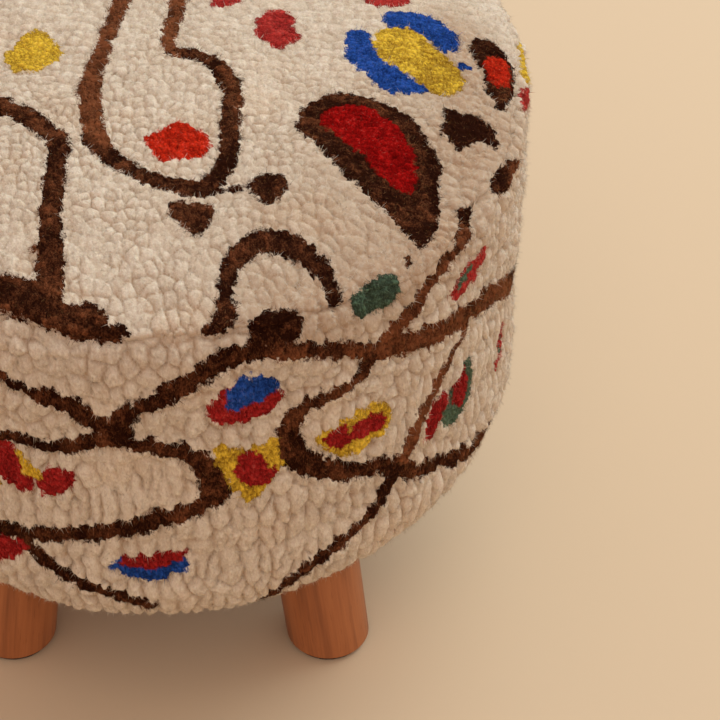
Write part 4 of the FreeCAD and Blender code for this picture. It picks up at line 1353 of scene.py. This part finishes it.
def pine_material():
    pine = Finish("softwood", {"Specular IOR Level": 0.3})
    where = pine.where()
    rings = pine.noise(pine.placed(where, scale=(1, 1, 0.04)), 150, 2.0, 0.5, 0.8)
    fine = pine.noise(pine.placed(where, scale=(1, 1, 0.05)), 900, 2.0)
    colour = pine.ramp(rings, (0.3, (0.72, 0.53, 0.31)), (0.5, (0.80, 0.63, 0.40)),
                       (0.7, (0.62, 0.40, 0.20)))
    return pine.finished(colour=colour, roughness=fine * 0.2 + 0.5,
                         normal=pine.bumped(fine, 0.2, 0.0003))


def hardboard_material():
    board = Finish("hardboard", {"Specular IOR Level": 0.3})
    where = board.where()
    fibres = board.noise(where, 700, 4.0, 0.7, 1.5)
    patches = board.noise(where, 40, 2.0)
    colour = board.ramp(fibres * 0.7 + patches * 0.3, (0.3, (0.11, 0.055, 0.028)),
                        (0.7, (0.24, 0.13, 0.07)))
    return board.finished(colour=colour, roughness=fibres * 0.2 + 0.5,
                          normal=board.bumped(fibres, 0.3, 0.0003))


plywood, pine, hardboard = plywood_material(), pine_material(), hardboard_material()
for name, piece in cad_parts.items():
    if name.endswith("board"):
        dress(piece, plywood)
    elif name.startswith("frame_post"):
        dress(piece, pine)
    elif name == "side_wall":
        dress(piece, hardboard)
print("plywood, pine and hardboard on the frame")

# %% [markdown]
# ## Steel parts
# Leg plates, bolts and nuts are zinc plated: bright grey, faintly blotched where the plating
# crystallised, with fine scratches from pressing and driving.

# %% Zinc plated steel
def steel_material():
    steel = Finish("zinc_steel", {"Specular IOR Level": 0.5, "Metallic": 1.0})
    where = steel.where()
    blotches = steel.noise(where, 240, 3.0, 0.6)
    scratches = steel.noise(steel.placed(where, turn=(0, 0, 0.6), scale=(0.05, 1, 1)), 2600, 2.0)
    colour = steel.ramp(blotches, (0.3, (0.46, 0.47, 0.48)), (0.7, (0.64, 0.645, 0.65)))
    rough = blotches * 0.22 + scratches * 0.14 + 0.2
    return steel.finished(colour=colour, roughness=rough,
                          normal=steel.bumped(scratches, 0.12, 0.0001))


zinc = steel_material()
for name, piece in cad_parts.items():
    if name.startswith(("leg_plate", "plate_nut", "hanger_bolt")):
        dress(piece, zinc)

# %% [markdown]
# The screws of the leg plates aren't in the CAD. Each is a countersunk head with a cross recess,
# a profile turned round its axis, with the recess pressed in where the cross is.

# %% Wood screws of the leg plates
plate_side, plate_hole_inset, screw_radius, screw_core = 58.0, 7.0, 4.05, 1.9
screw_sides = 32


def screw_points():
    """A countersunk head looking down: rings of points from the middle out and up the cone. A
    point inside the recess's radius goes up by the recess's depth where it is within a narrow
    band along one of the cross's two arms."""
    rings = [(0.4, 0.0), (1.0, 0.0), (1.6, 0.0), (2.2, 0.0), (3.4, 0.05), (3.9, 0.25),
             (screw_radius, 0.5),
             (screw_core, 2.4), (screw_core, 2.45)]
    radius, height = np.array(rings).T
    turn = full_turn(screw_sides)
    x, y = radius[:, None] * np.cos(turn), radius[:, None] * np.sin(turn)
    in_cross = (np.minimum(np.abs(x), np.abs(y)) < 0.42) & (radius[:, None] < 2.0)
    z = height[:, None] + 1.3 * in_cross
    return np.stack([x, y, z], axis=-1).reshape(-1, 3), len(rings)


def turned_faces(rings, sides, first, last):
    """Faces of rings from the middle outwards and up, closed by a fan at each end."""
    faces = grid_faces(rings, sides, close_columns=True)[:, ::-1]
    ring = np.arange(sides)
    low = fan_faces(ring, first)
    top = ring + (rings - 1) * sides
    high = np.stack([top, np.roll(top, -1), np.full(sides, last)], axis=1)
    return faces, low, high


def copies(points, face_sets, places):
    """Many copies of one shape in one mesh: its points at each place, given as a turn and a
    shift, and its faces numbered on."""
    turns, shifts = places
    x = points[:, 0] * np.cos(turns)[:, None] - points[:, 1] * np.sin(turns)[:, None]
    y = points[:, 0] * np.sin(turns)[:, None] + points[:, 1] * np.cos(turns)[:, None]
    z = np.broadcast_to(points[:, 2], x.shape)
    all_points = np.stack([x, y, z], axis=-1) + shifts[:, None]
    offsets = (np.arange(len(turns)) * len(points))[:, None, None]
    return all_points.reshape(-1, 3), [(faces + offsets).reshape(-1, faces.shape[1])
                                       for faces in face_sets]


def screws_of_plate(number):
    turn = leg_direction(number)
    out = np.array((math.cos(turn), math.sin(turn), 0))
    aside = np.array((-math.sin(turn), math.cos(turn), 0))
    reach = plate_side / 2 - plate_hole_inset
    middle = out * (leg_top_x - boss_rise * splay_slope) + np.array((0, 0, plate_low + 0.15))
    corners = [(1, 1), (1, -1), (-1, 1), (-1, -1)]
    shifts = np.array([middle + out * reach * across + aside * reach * along for across,
                       along in corners])
    turns = full_circle * cell_chance(51, np.arange(4) + 4 * number)
    points, rings = screw_points()
    ends = np.array([(0, 0, 1.3), (0, 0, 2.45)])
    faces = turned_faces(rings, screw_sides, len(points), len(points) + 1)
    points, faces = copies(np.vstack([points, ends]), faces, (turns, shifts))
    return new_piece("plate_screws_%d" % number, points, *faces, smooth=False)


for number in leg_numbers:
    screws = screws_of_plate(number)
    dress(screws, zinc)
    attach(screws, "root")

# %% [markdown]
# ## Dust cover
# Under the board a thin black cloth keeps the dust in. It is a disc with a turned-in edge,
# pulled tight and stapled, so it is flat but for faint puckers at the staples.

# %% The dust cover
dust_radius = hem_x - hem_lip_radius - 1.5
dust_fold, fold_rings = 11.0, 7
staple_count = 28
bore_circle = foot_circle - board_low * splay_slope
bore_radius = 13.0
cloth_thickness, cloth_gap = 0.35, 0.12
cloth_rings, cloth_sides = 72, 448
pucker_reach, pucker_depth = 32, 0.22
bore_merge = 1.3


def hanging(radius, turn):
    """Nearness to the rim, from 0 to 1, and how far the cloth hangs down there: the nearness times
    a wave that is highest halfway between two staples."""
    rim = np.clip((radius - dust_radius + pucker_reach) / pucker_reach, 0, 1) ** 2
    return rim, pucker_depth * rim * (0.5 - 0.5 * np.cos(turn * staple_count))


def dust_cover():
    """A disc of rings and spokes that hangs down a little between staples. Faces inside the four
    leg holes are left out, and points next to a hole's edge move onto it."""
    radius = dust_radius * np.sqrt(np.linspace(0.0004, 1, cloth_rings))[:, None]
    turn = full_turn(cloth_sides)[None, :]
    x, y = radius * np.cos(turn), radius * np.sin(turn)
    rim, sag = hanging(radius, turn)
    flat = np.stack([x, y, np.zeros_like(x)], axis=-1).reshape(-1, 3)
    creases = smooth_noise(flat * (1, 1, 0) + 7.0, 22, 71).reshape(x.shape) * 0.08
    z = board_low - cloth_gap - cloth_thickness / 2 - sag + creases * rim
    points = np.stack([x, y, z], axis=-1).reshape(-1, 3)
    faces = grid_faces(cloth_rings, cloth_sides, close_columns=True)[:, ::-1]
    kept = np.ones(len(faces), bool)
    for number in leg_numbers:
        middle = bore_circle * np.array((math.cos(leg_direction(number)),
                                         math.sin(leg_direction(number))))
        away = points[:, :2] - middle
        distance = np.hypot(*away.T)
        kept &= (distance[faces] > bore_radius - bore_merge).all(axis=1)
        edge = np.abs(distance - bore_radius) < bore_merge
        points[edge, :2] = middle + away[edge] / distance[edge, None] * bore_radius
    centre = np.array([(0, 0, points[0, 2])])
    fan = fan_faces(np.arange(cloth_sides), len(points))
    return new_piece("dust_cloth", np.vstack([points, centre]), faces[kept], fan)


def thickened(piece, thickness):
    """Gives a thin sheet its thickness, half to each side."""
    wall = piece.modifiers.new("thickness", "SOLIDIFY")
    wall.thickness = thickness * mm
    wall.offset = 0
    return piece


def cloth_material(name, dark, light, scale):
    """A cloth of bonded fibres: a net of crossing threads over a fine mottle."""
    cloth = Finish(name, {"Roughness": 0.9, "Specular IOR Level": 0.2})
    where = cloth.where()
    mottle = cloth.noise(where, scale, 4.0, 0.7, 1.0)
    bonds = cloth.node("ShaderNodeTexVoronoi", {"feature": "F1"},
                       {"Vector": where, "Scale": scale * 0.6}, 0)
    colour = cloth.blend(cloth.step(mottle, 0.35, 0.75), dark, light)
    return cloth.finished(colour=colour, normal=cloth.bumped(mottle + bonds * 0.5, 0.4, 0.0003))


black_cloth = cloth_material("dust_cloth", (0.012, 0.012, 0.013), (0.045, 0.045, 0.047), 1100)
cloth = thickened(dust_cover(), cloth_thickness)
dress(cloth, black_cloth)
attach(cloth, "root")
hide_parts("dust_cover")

# %% [markdown]
# The turned-in edge is a second layer along the rim, and the staples hold both.

# %% Folded edge and staples
def folded_edge():
    """A flat ring along the rim, its inner edge slightly wavy: width plus noise."""
    turn = full_turn(cloth_sides)
    wave = smooth_noise(np.stack([np.cos(turn), np.sin(turn), turn * 0], axis=1) * 90, 14, 72)
    shares = np.linspace(0, 1, fold_rings)[:, None]
    radius = dust_radius - 0.4 - (1 - shares) * (dust_fold + wave * 1.2)
    height = board_low - cloth_gap - cloth_thickness * 1.6 - hanging(radius, turn)[1]
    points = round_axis(radius, turn, height).reshape(-1, 3)
    faces = grid_faces(fold_rings, cloth_sides, close_columns=True)[:, ::-1]
    return new_piece("dust_cloth_fold", points, faces)


fold = thickened(folded_edge(), cloth_thickness)
dress(fold, black_cloth)

staple_width, staple_drop, staple_wire = 9.5, 1.2, (0.62, 0.5)


def staple_shape():
    """A flat wire carried along a bracket-shaped path: up out of the board, round a small corner,
    across, and back. At each point of the path the wire's four corners lie square to it."""
    half, corner, leg_up = staple_width / 2, 0.5, 1.6
    path = np.array([(-half, leg_up), (-half, corner), (-half + 0.15, 0.15), (-half + corner, 0),
                     (half - corner, 0), (half - 0.15, 0.15), (half, corner), (half, leg_up)])
    along = np.gradient(path, axis=0)
    along /= np.hypot(*along.T)[:, None]
    square = np.stack([-along[:, 1], along[:, 0]], axis=1)
    wide, thick = staple_wire[0] / 2, staple_wire[1] / 2
    corners = [(-wide, -thick), (wide, -thick), (wide, thick), (-wide, thick)]
    points = np.array([[(x + square_x * off, side, z + square_z * off) for side, off in corners]
                       for (x, z), (square_x, square_z) in zip(path, square)]).reshape(-1, 3)
    faces = grid_faces(len(path), 4, close_columns=True)
    ends = np.array([(3, 2, 1, 0),
                     (len(points) - 4, len(points) - 3, len(points) - 2, len(points) - 1)])
    return points, [faces, ends]


def staples():
    turn = (np.arange(staple_count) + 0.08
            * (cell_chance(61, np.arange(staple_count)) - 0.5)) / staple_count
    turn = turn * full_circle
    radius = dust_radius - 6.0 + 2.0 * (cell_chance(62, np.arange(staple_count)) - 0.5)
    shifts = round_axis(radius, turn, board_low - staple_drop)
    slant = turn + math.pi / 2 + 0.3 * (cell_chance(63, np.arange(staple_count)) - 0.5)
    points, faces = staple_shape()
    points, faces = copies(points, faces, (slant, shifts))
    return new_piece("dust_cloth_staples", points, *faces, smooth=False)


clips = staples()
dress(clips, zinc)
for piece, slot in ((fold, "dust_cloth"), (clips, "zinc_steel")):
    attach(piece, "root")
dust_area = math.pi * dust_radius ** 2 - leg_count * math.pi * bore_radius ** 2
2 * dust_radius * mm
2 * dust_radius * mm
dust_area * mm * mm

# %% [markdown]
# ## Felt pads
# A disc of pressed felt sits under each foot: a short cylinder with a soft, slightly ragged edge
# and a flat underside that rests on the floor.

# %% Felt under the feet
felt_sides = 120


def felt_pad(number):
    """Rings from the middle of the underside out, up the rounded edge and back over the top. The
    edge wavers by a third of a millimetre."""
    profile = [(6, 0.0), (14, 0.0), (20.5, 0.0), (22.2, 0.25), (22.9, 0.9), (23.0, 1.6),
               (22.9, 2.4),
               (22.5, 2.95), (18.0, pad_thickness), (8.0, pad_thickness)]
    radius, height = np.array(profile).T
    turn = full_turn(felt_sides)
    direction = leg_direction(number)
    middle_x = foot_circle - pad_thickness * splay_slope
    ragged = smooth_noise(np.stack([np.cos(turn), np.sin(turn), turn * 0], axis=1) * 23 + 100
                          * number, 1.6, 81)
    edge = np.clip((radius - 20) / 3, 0, 1)[:, None]
    spread = radius[:, None] - edge * (0.15 + 0.18 * ragged)
    x = spread * np.cos(turn) + middle_x * math.cos(direction)
    y = spread * np.sin(turn) + middle_x * math.sin(direction)
    points = np.stack([x, y, np.broadcast_to(height[:, None], x.shape)], axis=-1).reshape(-1, 3)
    axis = np.array((middle_x * math.cos(direction), middle_x * math.sin(direction), 0))
    ends = np.array([axis, axis + (0, 0, pad_thickness)])
    faces = turned_faces(len(profile), felt_sides, len(points), len(points) + 1)
    return new_piece("felt_disc_%d" % number, np.vstack([points, ends]), *faces)


felt = cloth_material("felt", (0.055, 0.032, 0.022), (0.13, 0.085, 0.062), 1500)
for number in leg_numbers:
    disc = felt_pad(number)
    dress(disc, felt)
    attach(disc, "root")
    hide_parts("felt_pad_%d" % number)

# %% [markdown]
# ## Studio
# The photograph shows a plain peach-coloured floor and soft light. Here a large soft lamp stands
# behind and above, a weaker one in front fills its shadows, and a warm sky adds the rest. The
# floor takes its colour from its material.

# %% Floor and light
floor_colour = (0.745, 0.58, 0.393)
floor_half = 6000.0
floor_points = np.array([(-floor_half, -floor_half, 0), (floor_half, -floor_half, 0),
                         (floor_half, floor_half, 0), (-floor_half, floor_half, 0)])
floor = new_piece("studio_floor", floor_points, np.array([(0, 1, 2, 3)]), smooth=False)
paint = Finish("studio_floor", {"Roughness": 0.9, "Specular IOR Level": 0.1})
mottle = paint.noise(paint.where(), 3.0, 2.0)
dress(floor, paint.finished(colour=paint.tinted(mottle * 0.1, floor_colour, (0.96, 0.95, 0.93))))


def soft_lamp(name, place, aim, size, power, colour):
    """A square lamp at a place in metres, turned to shine at a point."""
    data = bpy.data.lights.new(name, "AREA")
    data.size, data.energy, data.color = size, power, colour
    lamp = bpy.data.objects.new(name, data)
    lamp.location = place
    lamp.rotation_euler = (Vector(place) - Vector(aim)).to_track_quat("Z", "Y").to_euler()
    bpy.context.scene.collection.objects.link(lamp)


studio_lamps = [
    ("large_soft_lamp", (1.3, 1.2, 2.2), 2.6, 50.5, (0.80, 0.96, 1.0)),
    ("front_soft_lamp", (0.0, -1.6, 2.6), 1.2, 9.2, (1.0, 0.87, 0.69)),
]
for name, place, size, power, colour in studio_lamps:
    soft_lamp(name, place, (0, 0, 0.3), size, power, colour)
sky_strength = 0.615
sky = bpy.data.worlds.new("studio_sky")
sky.use_nodes = True
background = sky.node_tree.nodes["Background"]
background.inputs["Color"].default_value = (1.0, 0.81, 0.75, 1)
background.inputs["Strength"].default_value = sky_strength
bpy.context.scene.world = sky
bpy.context.scene.view_settings.view_transform = "Standard"
